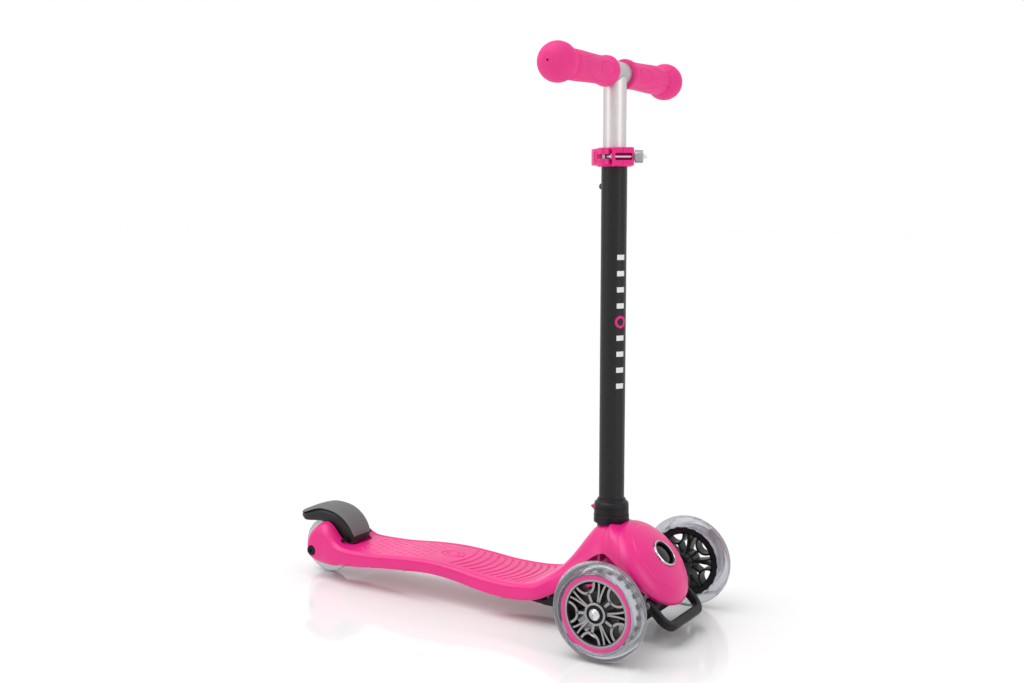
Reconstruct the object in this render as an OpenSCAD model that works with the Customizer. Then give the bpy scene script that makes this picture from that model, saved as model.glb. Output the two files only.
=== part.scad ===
// Three-wheeled, lean-to-steer kick scooter for a small child.
// +X is forward, +Y is the rider's left and +Z is up.
// The origin is on the ground, under the middle of the scooter's length.

/* [Overall] */
// Distance between the front and rear axles
wheelbase = 510; // [450:1:600]
// Distance between the middles of the front wheels
track = 256; // [240:1:300]
// Height of the handle's axis above the ground
handle_z = 695; // [640:1:740]
// Width over the ends of the grips
handle_w = 334; // [310:1:400]

/* [Wheels] */
// Diameter of the front wheels
front_wheel_d = 121; // [112:1:124]
// Width of the front tyres
front_wheel_w = 24; // [22:1:28]
// Diameter of the front wheels' cores, under the tyres
front_core_d = 92; // [88:1:94]
// Diameter of the rear wheel
rear_wheel_d = 80; // [70:1:84]
// Width of the rear tyre
rear_wheel_w = 22; // [18:1:24]
// Diameter of the rear wheel's core, under the tyre
rear_core_d = 52; // [46:1:56]
// Outer diameter of every ball bearing
bearing_d = 22; // [20:1:24]
// Width of every ball bearing
bearing_w = 7; // [5:1:8]
// Diameter of the wheel bolts
bolt_d = 8; // [6:1:9]
// Height of the raised trim ring around each front wheel's spokes
trim_h = 1.2; // [0.6:0.1:2]

/* [Deck] */
// Width of the deck at its widest, near the front
deck_w = 118; // [108:1:140]
// Wall of the deck moulding
deck_wall = 3.2; // [2.4:0.1:4]
// Height of the rim around the standing surface
rim_h = 1.8; // [0:0.1:3]
// Half-width of the slot that the rear wheel turns in
fork_gap = 25; // [24:0.5:28]
// Backward lean of the steering axis and of the round nose, from horizontal
nose_lean = 40; // [34:1:46]
// Radius of the round nose
nose_r = 60.5; // [54:0.5:64]
// Depth of the nose's dome
nose_dome = 22; // [16:1:26]

/* [Bar] */
// Outer diameter of the lower tube
bar_d = 32; // [28:0.5:34]
// Wall of the lower tube
bar_wall = 1.5; // [1:0.1:2]
// Outer diameter of the sliding upper tube
stem_d = 28.6; // [24:0.1:28.6]
// Wall of the upper tube
stem_wall = 1.5; // [1:0.1:2]
// Height of the lower tube's top end
bar_top = 601; // [560:1:640]
// How far the stem slides up or down from where it stands
slide = 50; // [20:1:55]
// Height of the clamp band
clamp_h = 23; // [18:1:28]
// Turn of the clamp's ears, from forward to the rider's right
clamp_turn = 58.6; // [0:0.1:90]
// Largest diameter of the grips, at their ball ends
grip_d = 47; // [42:0.5:52]
// Radius of the streamer hole in each grip's end
streamer_r = 1.6; // [1:0.1:2.5]

/* [Clearances] */
// Radial clearance of a turning shaft in its bore
run_gap = 0.05; // [0.02:0.01:0.09]
// Radial clearance of the bar in its socket
socket_gap = 0.15; // [0.1:0.05:0.3]
// Radial room around a fixed pin, liner or screw
fit_gap = 0.15; // [0.1:0.05:0.3]
// Gap between neighbouring faces that move past each other
face_gap = 0.4; // [0.3:0.1:0.8]

/* [Hidden] */
$fn = 48;

front_r = front_wheel_d / 2;
rear_r = rear_wheel_d / 2;
tail_over = 43.5;
front_x = (wheelbase + tail_over - front_r) / 2;
rear_x = front_x - wheelbase;
bar_x = front_x - 50;
bar_r = bar_d / 2;
stem_r = stem_d / 2;
bolt_r = bolt_d / 2;
bearing_r = bearing_d / 2;
axle_z = front_r;

pink = [0.92, 0.16, 0.53];
black = [0.12, 0.12, 0.13];
grey = [0.42, 0.42, 0.44];
silver = [0.85, 0.84, 0.85];
steel = [0.70, 0.71, 0.73];
clear = [0.75, 0.77, 0.82, 0.6];

// ---- The pink moulding's outline, as a row of cross-sections ----
// Each section is [x, middle height, half height, half width, squareness, taper, tilt, rim, open].
function board(x, top, low, half, n = 5, rim = 1, open = 0) =
    [x, (top + low) / 2, (top - low) / 2, half, n, 0, 0, rim, open];
function neck(dx, top, low, half, n, taper) =
    [front_x + dx, axle_z + (top + low) / 2, (top - low) / 2, half, n, taper, 0, 0, 0];

deck_half = deck_w / 2;
board_back = rear_x + 65;
board_front = front_x - 133;
function along(f) = board_back + f * (board_front - board_back);

fork_sections = [
    board(rear_x - 11.5, rear_r + 8, rear_r - 9, deck_half - 22, 3, 0),
    board(rear_x - 9, rear_r + 20, rear_r - 14, deck_half - 18.5, 3.5, 0),
    board(rear_x - 3, rear_r + 31, rear_r - 18, deck_half - 16.5, 4, 0),
    board(rear_x + 7, rear_r + 39, rear_r - 21, deck_half - 15.5, 4, 0),
    board(rear_x + 17, rear_r + 42, rear_r - 22.5, deck_half - 15, 4, 0),
    board(rear_x + 28, rear_r + 36, rear_r - 21.5, deck_half - 13.5, 4.5, 0),
    board(rear_x + 40, rear_r + 23, rear_r - 19.5, deck_half - 12, 5, 0.4),
    board(rear_x + 52, rear_r + 15.5, rear_r - 16.5, deck_half - 10.5)
];
board_sections = [
    board(along(0), 53.5, 24, deck_half - 9.5),
    board(along(0.08), 53, 26, deck_half - 8.5),
    board(along(0.17), 53.5, 30, deck_half - 8),
    board(along(0.32), 57.5, 33.5, deck_half - 8.5),
    board(along(0.46), 59, 36, deck_half - 9),
    board(along(0.59), 56.5, 33, deck_half - 8),
    board(along(0.72), 52, 27, deck_half - 5.5),
    board(along(0.84), 50.5, 24, deck_half - 2.5),
    board(along(0.93), 52, 25, deck_half - 0.5)
];
neck_sections = [
    neck(-133, -3.5, -32, deck_half, 4.5, 0),
    neck(-120, 4, -28, deck_half, 4, 0.06),
    neck(-107, 14, -22, deck_half - 1, 3.6, 0.16),
    neck(-95, 27.5, -17, deck_half - 1.5, 3.3, 0.27),
    neck(-84, 43, -14, deck_half - 2, 3, 0.36),
    neck(-74, 58.5, -12, deck_half - 2.5, 2.7, 0.42),
    neck(-65, 69.5, -11, deck_half - 2.5, 2.5, 0.44),
    neck(-56, 75.5, -10, deck_half - 2.5, 2.4, 0.42)
];

// Points on the nose's own axis, at a depth behind the lock button's face.
button_x = front_x + 24.6;
button_z = axle_z + 43.5;
function pin_x(d) = button_x - d * cos(nose_lean);
function pin_z(d) = button_z - d * sin(nose_lean);
function dome_r(d) = nose_r * sqrt(1 - pow(1 - min(d, nose_dome) / nose_dome, 2));
function nose(d, grow = 0) =
    [pin_x(d), pin_z(d), dome_r(d) + grow, dome_r(d) + grow, 2, 0, nose_lean, 0, 0];
throat_sections = [
    [front_x - 37, axle_z + 27, 51, deck_half - 2, 2.3, 0.3, 10, 0, 0],
    [front_x - 21, axle_z + 27, 57, deck_half - 1.5, 2.15, 0.16, 22, 0, 0],
    [front_x - 6, axle_z + 28, 60, deck_half - 0.5, 2.05, 0.06, 33, 0, 0]
];
nose_depths = [22, 15, 9, 4.5, 1.2];
outer_sections = concat(fork_sections, board_sections, neck_sections, throat_sections,
                        [for (d = nose_depths) nose(d)]);

// The hollow follows the same sections, one wall further in.
function sunk(s, open) = [s[0], s[1], s[2], s[3], s[4], s[5], s[6], s[7], open];
hollow_sections = concat(
    [for (s = board_sections) sunk(s, 30)],
    [for (i = [0 : 2]) sunk(neck_sections[i], 30)],
    [for (i = [3 : len(neck_sections) - 1]) neck_sections[i]],
    throat_sections,
    [for (d = [22, 13, 5]) nose(d)]
);

function signed_power(v, p) = sign(v) * pow(abs(v), p);
function limit(v) = min(1, max(0, v));
// One point of a section: its angle runs from the left side, over the top.
function section_point(s, a, wall) =
    let (c = cos(a), q = sin(a), e = 2 / s[4])
    let (up = signed_power(q, e))
    let (half = max(s[3] - wall, 1.5))
    let (side = s[8] > 0 && q < 0 ? limit(abs(c) * 4) * sign(c) : signed_power(c, e))
    let (y = half * side * (1 - s[5] * (up + 1) / 2))
    let (dip = q > 0 ? s[7] * rim_h * limit((half - 7 - abs(y)) / 4) : 0)
    let (v = max(s[2] - wall, 1.5) * up - dip - (q < 0 ? s[8] : 0))
    [s[0] - sin(s[6]) * v, y, s[1] + cos(s[6]) * v];

// A closed solid through a row of sections.
module loft(sections, wall = 0, sides = 26) {
    rows = len(sections);
    points = [for (s = sections) for (k = [0 : sides - 1]) section_point(s, k * 360 / sides, wall)];
    around = [for (i = [0 : rows - 2]) for (k = [0 : sides - 1])
        let (n = (k + 1) % sides)
        for (f = [[i * sides + k, (i + 1) * sides + n, i * sides + n],
                  [i * sides + k, (i + 1) * sides + k, (i + 1) * sides + n]]) f];
    first = [for (k = [0 : sides - 1]) k];
    last = [for (k = [0 : sides - 1]) rows * sides - 1 - k];
    polyhedron(points = points, faces = concat(around, [first], [last]), convexity = 8);
}

// ---- Frames that several pieces share ----
module across(x, z, y0, y1, r) {
    translate([x, y0, z])
        rotate([-90, 0, 0])
            cylinder(r = r, h = y1 - y0);
}
module side_plate(y0, y1) {
    translate([0, y1, 0])
        rotate([90, 0, 0])
            linear_extrude(y1 - y0)
                children();
}
// Local +Z runs out of the nose, and z = -d is a depth behind the button's face.
module on_kingpin() {
    translate([button_x, 0, button_z])
        rotate([0, 90 - nose_lean, 0])
            children();
}
module disc(d0, d1, r) {
    translate([0, 0, -d1])
        cylinder(r = r, h = d1 - d0);
}
module tube(r_out, r_in, z0, z1) {
    translate([0, 0, z0])
        difference() {
            cylinder(r = r_out, h = z1 - z0);
            translate([0, 0, -1])
                cylinder(r = r_in, h = z1 - z0 + 2);
        }
}

// ---- Steering ----
pin_r = 5;
well_r = 24;
plate_front = 18;
plate_back = 22;
hub_front = plate_back + face_gap + 1.2;
hub_back = 48;
lug_front = hub_back + 1.2 + face_gap;
lug_back = lug_front + 5.5;
hub_r = 18;
beam_r = 11;
beam_half = track / 2 - front_wheel_w / 2 - 4;
button_r = 14.2;
flange_r = 16.6;
prong_at = 13.5;
prong_r = 1.8;
lean_limit = 10;
button_travel = 4;

// ---- Bar foot ----
collar_r = 22;
collar_low = axle_z + 74.5;
collar_top = axle_z + 104.5;
socket_r = bar_r + 4;
liner_r = bar_r + 2;
socket_floor = axle_z - 1;
bar_low = axle_z + 2;

arch = [
    [front_x - 104, axle_z - 16], [front_x - 88, axle_z + 4], [front_x - 70, axle_z + 24],
    [front_x - 54, axle_z + 38], [front_x - 42, axle_z + 44], [front_x - 33, axle_z + 44],
    [front_x - 20, axle_z + 38], [front_x - 6, axle_z + 29], [front_x + 8, axle_z + 20],
    [front_x + 44, axle_z - 22], [front_x + 44, -10], [front_x - 104, -10]
];
belly = [
    [front_x - 112, -10], [front_x - 112, axle_z - 12], [front_x - 20, axle_z - 6],
    [front_x + 35, axle_z + 2], [front_x + 41, axle_z - 20], [front_x + 41, -10]
];
brake_pin_x = rear_x + 49;
brake_pin_z = rear_r + 19;
brake_pin_r = 2.5;
screw_spots = [[front_x - 124, 30], [front_x - 124, -30], [front_x - 50, 11], [front_x - 50, -11]];
screw_r = 2;
cover_top = axle_z - 30;
cover_thick = 3;

// Ribs, the bar's socket and the steering carriers, kept when the moulding is hollowed.
module kept_inside() {
    $fn = 28;
    for (f = [0.15 : 0.175 : 0.9])
        translate([along(f) - 1.25, -deck_half, 0])
            cube([2.5, deck_w, 90]);
    for (y = [-16, 16])
        translate([along(0) - 5, y - 1.25, 0])
            cube([board_front - along(0) - 6, 2.5, 90]);
    translate([bar_x, 0, socket_floor - 3])
        cylinder(r = socket_r, h = collar_low - socket_floor + 6);
    for (side = [-1, 1])
        translate([bar_x - 2, side > 0 ? bar_r + 2 : -60 - bar_r, axle_z + 30])
            cube([4, 58, 60]);
    translate([front_x - 110, -2, axle_z - 14])
        cube([110 - 50 - bar_r - 2, 4, 90]);
    on_kingpin()
        disc(0, plate_back, well_r);
    on_kingpin()
        translate([-26, -9, -lug_back])
            cube([26, 18, lug_back - lug_front]);
    on_kingpin()
        disc(lug_front, lug_back, 11);
}
module deck() {
    $fn = 32;
    color(pink)
    difference() {
        union() {
            difference() {
                loft(outer_sections);
                difference() {
                    loft(hollow_sections, deck_wall, 16);
                    kept_inside();
                }
                for (side = [-1, 1])
                    side_plate(side > 0 ? 34 : -70, side > 0 ? 70 : -34)
                        polygon(arch);
                side_plate(-36, 36)
                    polygon(belly);
            }
            for (p = screw_spots)
                translate([p[0], p[1], cover_top + face_gap])
                    cylinder(r = 5.5, h = p[0] > front_x - 100 ? socket_floor - cover_top - 2
                                              : axle_z - cover_top - face_gap);
        }
        // Slot for the rear wheel and the fender
        translate([rear_x - 30, -fork_gap, 0])
            cube([30 + 62, 2 * fork_gap, 130]);
        across(rear_x, rear_r, -70, 70, bolt_r + fit_gap);
        for (side = [-1, 1])
            across(rear_x, rear_r, side > 0 ? deck_half - 18 : -70, side > 0 ? 70 : 18 - deck_half, 7.5);
        across(brake_pin_x, brake_pin_z, -fork_gap - 8, fork_gap + 8, brake_pin_r + fit_gap);
        // Flat seat for the collar, and the bore of the socket
        translate([bar_x, 0, collar_low])
            cylinder(r = collar_r + 0.6, h = 60);
        translate([bar_x, 0, socket_floor])
            cylinder(r = liner_r + fit_gap, h = 120);
        translate([bar_x - bar_r - 16, -5, collar_low - 9])
            cube([16, 10, 20]);
        // Well for the lock button, and the kingpin's holes
        on_kingpin() {
            translate([0, 0, -6.2])
                cylinder(r = 18.2, h = 20);
            disc(-10, plate_front, flange_r + 0.4);
            disc(0, lug_back + 1, pin_r + fit_gap);
            for (side = [-1, 1])
                translate([0, side * prong_at, 0])
                    disc(0, plate_back + 1, prong_r + 0.3);
        }
        for (p = screw_spots)
            translate([p[0], p[1], 0])
                cylinder(r = screw_r + fit_gap, h = cover_top + 16);
    }
}
module under_cover() {
    color(black)
    difference() {
        union() {
            side_plate(-44, 44)
                polygon([
                    [front_x - 142, 27.5], [front_x - 120, 25], [front_x - 60, 22.5], [front_x + 4, 23],
                    [front_x + 18, 27], [front_x + 30, 37], [front_x + 31.5, axle_z - 13],
                    [front_x + 28, axle_z - 4], [front_x + 20.5, axle_z - 4], [front_x + 20.5, 34],
                    [front_x + 8, cover_top],
                    [front_x - 130, cover_top]
                ]);
            for (side = [-1, 1])
                side_plate(side > 0 ? 41 : -44, side > 0 ? 44 : -41)
                    polygon([
                        [front_x - 128, cover_top - 3], [front_x - 104, axle_z - 17],
                        [front_x - 84, axle_z - 4], [front_x - 64, cover_top - 3]
                    ]);
        }
        // Opening between the two loop lugs
        translate([front_x + 10, -31, 33.5])
            cube([40, 62, 60]);
        // Hollow underside
        side_plate(-40, 40)
            polygon([
                [front_x - 112, 20], [front_x - 112, 27.5], [front_x + 2, 27.5], [front_x + 12, 29],
                [front_x + 12, 20]
            ]);
        for (side = [-1, 1])
            across(loop_x, loop_z, side > 0 ? 29 : -60, side > 0 ? 60 : -29, loop_pin_r);
        for (p = screw_spots)
            translate([p[0], p[1], 0])
                cylinder(r = screw_r + 0.3, h = 60);
    }
}
module cover_screws() {
    color(steel)
    for (p = screw_spots) {
        low = p[0] > front_x - 100 ? 27.5 - 2.5 : 22.5;
        translate([p[0], p[1], low])
            cylinder(r = 4, h = 2.5);
        translate([p[0], p[1], low])
            cylinder(r = screw_r, h = cover_top + 14 - low);
    }
}
module kingpin() {
    color(steel)
    on_kingpin() {
        disc(plate_front - 3.5, plate_front, 7.5);
        disc(plate_front - 3.5, lug_back + 7, pin_r);
    }
}
module kingpin_nut() {
    color(steel)
    on_kingpin()
        difference() {
            disc(lug_back, lug_back + 5, 8, $fn = 6);
            disc(lug_back - 1, lug_back + 6, pin_r);
        }
}
module steering_beam() {
    color(black)
    difference() {
        union() {
            on_kingpin()
                disc(hub_front, hub_back, hub_r);
            across(front_x, axle_z, -beam_half, beam_half, beam_r);
            translate([front_x - 11, -46, axle_z - 4])
                cube([20, 92, 18]);
            for (side = [-1, 1])
                across(front_x, axle_z, side > 0 ? beam_half - 14 : -beam_half,
                       side > 0 ? beam_half : 14 - beam_half, beam_r + 3);
            for (side = [-1, 1])
                translate([front_x + 4, side * 80 - 16, axle_z - 9])
                    cube([16, 32, 15]);
        }
        on_kingpin() {
            disc(hub_front - 1, hub_back + 2, pin_r + 2.52);
            disc(hub_back, 90, 24);
            disc(0, hub_front, 26);
            // Slots that the lock's prongs enter, clear of them at any lean
            for (side = [-1, 1])
                hull()
                    for (lean = [-lean_limit, lean_limit])
                        rotate([0, 0, lean])
                            translate([0, side * prong_at, 0])
                                disc(hub_front - 1, hub_front + button_travel + 2, prong_r + 0.4);
        }
        across(front_x, axle_z, -beam_half - 1, beam_half + 1, bolt_r);
    }
}
module beam_bushes() {
    color(silver)
    on_kingpin() {
        for (front = [true, false]) {
            d0 = front ? hub_front - 1.2 : hub_back;
            difference() {
                union() {
                    disc(d0, d0 + 1.2, 10);
                    disc(front ? hub_front : hub_back - 9, front ? hub_front + 9 : hub_back, pin_r + 2.5);
                }
                disc(hub_front - 3, hub_back + 3, pin_r + run_gap);
            }
        }
    }
}
spring_at = 30;
spring_x = front_x - 11;
spring_low = cover_top;
spring_high = axle_z - beam_r;
module centring_springs() {
    color(steel)
    for (side = [-1, 1])
        translate([spring_x + 6, side * spring_at, 0])
            tube(5.5, 3.5, spring_low + 0.1, spring_high - 1.2);
}

// ---- Front wheels ----
core_r = front_core_d / 2;
trim_out = core_r;
trim_in = core_r - 6.3;
wheel_half = front_wheel_w / 2;
core_half = wheel_half - 3;
hub_boss_r = bearing_r + 3;
hub_half = wheel_half - 0.5;
spoke_count = 5;
// Local frame of a front wheel: +Z is outward along its axle.
module at_front_wheel(side) {
    translate([front_x, side * track / 2, axle_z])
        rotate([side > 0 ? -90 : 90, 0, 0])
            children();
}
module ring_profile(half, r_in, r_out, crown) {
    rotate_extrude($fn = 96)
        intersection() {
            translate([r_in, -half])
                square([r_out - r_in, 2 * half]);
            union() {
                translate([0, -half])
                    square([r_out - crown, 2 * half]);
                translate([r_out - crown, 0])
                    scale([crown / half, 1])
                        circle(r = half, $fn = 48);
            }
        }
}
module round_tyre(half, r_in, r_out) {
    rotate_extrude($fn = 96)
        difference() {
            union() {
                translate([r_in, -half])
                    square([r_out - half - r_in, 2 * half]);
                translate([r_out - half, 0])
                    circle(r = half);
            }
            translate([-1, -50])
                square([r_in + 1, 100]);
        }
}
module spokes(r_in, r_out, thick, half) {
    for (k = [0 : spoke_count - 1]) {
        rotate([0, 0, 114 + 72 * k]) {
            translate([r_in - 1, -thick / 2, -half])
                cube([(r_out - r_in) * 0.5 + 1, thick, 2 * half]);
            for (turn = [-34, 34])
                translate([r_in + (r_out - r_in) * 0.5 - 0.8, 0, -half])
                    rotate([0, 0, turn])
                        translate([0, -thick / 2, 0])
                            cube([(r_out - r_in) * 0.68, thick, 2 * half]);
        }
        rotate([0, 0, 78 + 72 * k])
            translate([r_in - 1, -thick * 0.75, -half])
                cube([r_out - r_in + 2, thick * 1.5, 2 * half]);
    }
}
module wheel_core(r_rim, half, boss_half) {
    difference() {
        union() {
            tube(r_rim, r_rim - 9, -half, half);
            cylinder(r = hub_boss_r, h = 2 * boss_half, center = true);
            spokes(hub_boss_r, r_rim - 8, 2.4, half - 2);
        }
        for (end = [-1, 1])
            translate([0, 0, end * (boss_half - bearing_w / 2)])
                cylinder(r = bearing_r, h = bearing_w + 0.02, center = true);
        cylinder(r = bearing_r - 2, h = 60, center = true);
    }
}
module wheel_bearings(boss_half) {
    for (end = [-1, 1])
        translate([0, 0, end * (boss_half - bearing_w / 2)])
            difference() {
                cylinder(r = bearing_r, h = bearing_w, center = true);
                cylinder(r = bolt_r + run_gap, h = 20, center = true);
            }
}
module wheel_spacer(boss_half) {
    difference() {
        cylinder(r = bolt_r + 2, h = 2 * (boss_half - bearing_w), center = true);
        cylinder(r = bolt_r + run_gap, h = 60, center = true);
    }
}
module wheel_bolt(side) {
    color(silver)
    at_front_wheel(side) {
        translate([0, 0, -(track / 2 - beam_half) - 24])
            cylinder(r = bolt_r, h = track / 2 - beam_half + 24 + hub_half + face_gap);
        translate([0, 0, -(track / 2 - beam_half)])
            cylinder(r = bolt_r + 2.2, h = track / 2 - beam_half - hub_half - face_gap);
        translate([0, 0, hub_half + face_gap])
            difference() {
                intersection() {
                    cylinder(r = 7, h = 3);
                    translate([0, 0, -6.5])
                        sphere(r = 9.5);
                }
                translate([0, 0, 1])
                    cylinder(r = 2.5, h = 5, $fn = 6);
            }
    }
}
module trim_ring(side) {
    color(pink)
    at_front_wheel(side)
        translate([0, 0, core_half])
            difference() {
                union() {
                    cylinder(r = trim_out, h = trim_h, $fn = 96);
                    for (a = [47, 227])
                        rotate([0, 0, side > 0 ? -a : a])
                            intersection() {
                                cylinder(r = trim_out + 3.2, h = trim_h, $fn = 96);
                                translate([trim_out - 6, -8, 0])
                                    cube([12, 16, trim_h]);
                            }
                }
                translate([0, 0, -1])
                    cylinder(r = trim_in, h = trim_h + 2, $fn = 96);
            }
}
// The tyre's outer face is let in for the trim ring and its two tabs.
module front_tyre(side) {
    color(clear)
    at_front_wheel(side)
        difference() {
            round_tyre(wheel_half, core_r, front_r);
            translate([0, 0, core_half])
                cylinder(r = trim_out + 3.6, h = 20, $fn = 96);
            translate([0, 0, -20 - core_half])
                cylinder(r = core_r + 1.5, h = 20, $fn = 96);
        }
}
module left_wheel_bolt() { wheel_bolt(1); }
module right_wheel_bolt() { wheel_bolt(-1); }
module left_tyre() { front_tyre(1); }
module right_tyre() { front_tyre(-1); }
module left_trim_ring() { trim_ring(1); }
module right_trim_ring() { trim_ring(-1); }
module front_core(side) {
    color(grey)
    at_front_wheel(side)
        wheel_core(core_r, core_half, hub_half);
}
module left_core() { front_core(1); }
module right_core() { front_core(-1); }
module left_bearings() { color(steel) at_front_wheel(1) wheel_bearings(hub_half); }
module right_bearings() { color(steel) at_front_wheel(-1) wheel_bearings(hub_half); }
module left_spacer() { color(silver) at_front_wheel(1) wheel_spacer(hub_half); }
module right_spacer() { color(silver) at_front_wheel(-1) wheel_spacer(hub_half); }

// ---- Rear wheel ----
rear_half = rear_wheel_w / 2;
rear_hub_half = rear_half + 1;
module at_rear_wheel() {
    translate([rear_x, 0, rear_r])
        rotate([-90, 0, 0])
            children();
}
module rear_tyre() {
    color(clear)
    at_rear_wheel()
        round_tyre(rear_half, rear_core_d / 2, rear_r);
}
module rear_core() {
    color(grey)
    at_rear_wheel()
        difference() {
            union() {
                tube(rear_core_d / 2, rear_core_d / 2 - 5, 1 - rear_half, rear_half - 1);
                cylinder(r = hub_boss_r, h = 2 * rear_hub_half, center = true);
                for (k = [0 : 5])
                    rotate([0, 0, 60 * k])
                        translate([hub_boss_r - 1, -1.5, 3 - rear_half])
                            cube([rear_core_d / 2 - 3 - hub_boss_r, 3, rear_wheel_w - 6]);
            }
            for (end = [-1, 1])
                translate([0, 0, end * (rear_hub_half - bearing_w / 2)])
                    cylinder(r = bearing_r, h = bearing_w + 0.02, center = true);
            cylinder(r = bearing_r - 2, h = 60, center = true);
        }
}
module rear_bearings() { color(steel) at_rear_wheel() wheel_bearings(rear_hub_half); }
module rear_spacer() { color(silver) at_rear_wheel() wheel_spacer(rear_hub_half); }
axle_face = deck_half - 18;
module rear_axle() {
    color(steel)
    at_rear_wheel() {
        translate([0, 0, -axle_face])
            cylinder(r = bolt_r, h = 2 * axle_face + 1);
        translate([0, 0, -axle_face - 3])
            difference() {
                cylinder(r = 6.8, h = 3);
                translate([0, 0, -1])
                    cylinder(r = 2.5, h = 3, $fn = 6);
            }
        for (end = [-1, 1])
            translate([0, 0, end * (rear_hub_half + face_gap + fork_gap) / 2])
                cylinder(r = bolt_r + 2, h = fork_gap - rear_hub_half - face_gap, center = true);
    }
}
module rear_axle_nut() {
    color(steel)
    at_rear_wheel()
        translate([0, 0, axle_face + 1])
            cylinder(r = 6.8, h = 2.5, $fn = 6);
}

// ---- Brake ----
fender_half = 23;
fender_tip = rear_x - tail_over;
skin_h = 3;
// Side outline of the fender, from its hinge over the wheel to its tip.
fender_line = [
    [fender_tip + 3, 80], [fender_tip + 8, 78.5], [rear_x - 29, 74], [rear_x - 8, 78.5],
    [rear_x + 8, 76], [rear_x + 26, 66], [rear_x + 37, 55], [rear_x + 44, 50],
    [rear_x + 52, 51], [rear_x + 57, 57], [rear_x + 59.5, 66], [rear_x + 58, 78],
    [rear_x + 51, 89], [rear_x + 43, 95.5], [rear_x + 27, 99], [rear_x + 1, 100],
    [rear_x - 16, 97], [rear_x - 32, 89.5], [fender_tip + 1.5, 84]
];
skin_line = [
    [fender_tip, 83.5], [fender_tip + 0.8, 86.5], [fender_tip + 4, 89.5], [rear_x - 32, 93.5],
    [rear_x - 15, 100.5], [rear_x + 2, 103.2], [rear_x + 29, 102.4], [rear_x + 46, 98],
    [rear_x + 55, 90.5], [rear_x + 61, 78.5],
    [rear_x + 58, 78], [rear_x + 51, 89], [rear_x + 43, 95.5], [rear_x + 27, 99], [rear_x + 1, 100],
    [rear_x - 16, 97], [rear_x - 32, 89.5], [fender_tip + 1.5, 84]
];
// Plan outline, rounded at the tail.
module fender_plan(half) {
    intersection() {
        translate([fender_tip, -half])
            square([130, 2 * half]);
        union() {
            translate([fender_tip + half * 0.8, 0])
                scale([0.8, 1])
                    circle(r = half, $fn = 64);
            translate([fender_tip + half * 0.8, -half])
                square([130, 2 * half]);
        }
    }
}
module fender_solid(line, half) {
    intersection() {
        side_plate(-half, half)
            polygon(line);
        translate([0, 0, 20])
            linear_extrude(120)
                fender_plan(half);
    }
}
module brake_fender() {
    color([0.2, 0.2, 0.21])
    difference() {
        fender_solid(fender_line, fender_half - 1);
        // Room for the wheel
        across(rear_x, rear_r, -rear_half - 3.5, rear_half + 3.5, rear_r + 7.5);
        across(brake_pin_x, brake_pin_z, -40, 40, brake_pin_r + run_gap);
        // Pocket for the torsion spring
        across(brake_pin_x, brake_pin_z, -7, 7, 7);
        translate([brake_pin_x - 4, -7, brake_pin_z - 14])
            cube([12, 14, 14]);
    }
}
module fender_skin() {
    color(grey)
    fender_solid(skin_line, fender_half);
}
lining_r = rear_r + 7.45;
module brake_lining() {
    color(steel)
    difference() {
        intersection() {
            across(rear_x, rear_r, -8, 8, lining_r);
            translate([rear_x - 20, -8, rear_r + 30])
                cube([36, 16, 30]);
        }
        across(rear_x, rear_r, -9, 9, lining_r - 2);
    }
}
module brake_pin() {
    color(steel)
    across(brake_pin_x, brake_pin_z, -fork_gap - 7.5, fork_gap + 7.5, brake_pin_r);
}
module brake_spring() {
    color(steel)
    difference() {
        across(brake_pin_x, brake_pin_z, -6.5, 6.5, 5.2);
        across(brake_pin_x, brake_pin_z, -7, 7, 3.2);
    }
}

// ---- Lock button in the nose ----
module lock_bezel() {
    color(silver)
    on_kingpin()
        rotate_extrude()
            polygon([
                [button_r + 0.3, 0.6], [button_r + 0.8, 1.4], [17.2, 1.4], [18, 0.2], [18, -5.8],
                [button_r + 0.3, -5.8]
            ]);
}
module lock_button() {
    color(black)
    on_kingpin() {
        intersection() {
            disc(0.4, 8, button_r);
            translate([0, 0, -42.4])
                sphere(r = 42);
        }
        disc(6.4, 8, flange_r);
        for (side = [-1, 1])
            translate([0, side * prong_at, 0])
                disc(7, plate_back + 0.6, prong_r);
    }
}
module lock_spring() {
    color(steel)
    on_kingpin()
        translate([0, 0, -plate_front])
            tube(10.8, 8.8, 0.1, plate_front - 8.1);
}

// ---- Bar socket collar and its release catch ----
catch_z = collar_low + 13;
catch_x = bar_x - collar_r + 1;
module bar_collar() {
    color(black)
    difference() {
        translate([bar_x, 0, 0])
            rotate_extrude($fn = 64)
                polygon([
                    [bar_r + socket_gap, collar_low + 10], [collar_r, collar_low + 10],
                    [collar_r, collar_low + 22], [collar_r - 0.8, collar_low + 25],
                    [collar_r - 3, collar_low + 27.5], [collar_r - 4.2, collar_top],
                    [bar_r + socket_gap, collar_top]
                ]);
        translate([bar_x - collar_r - 2, -3.8, collar_low + 9])
            cube([8, 7.6, 11]);
    }
}
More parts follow.
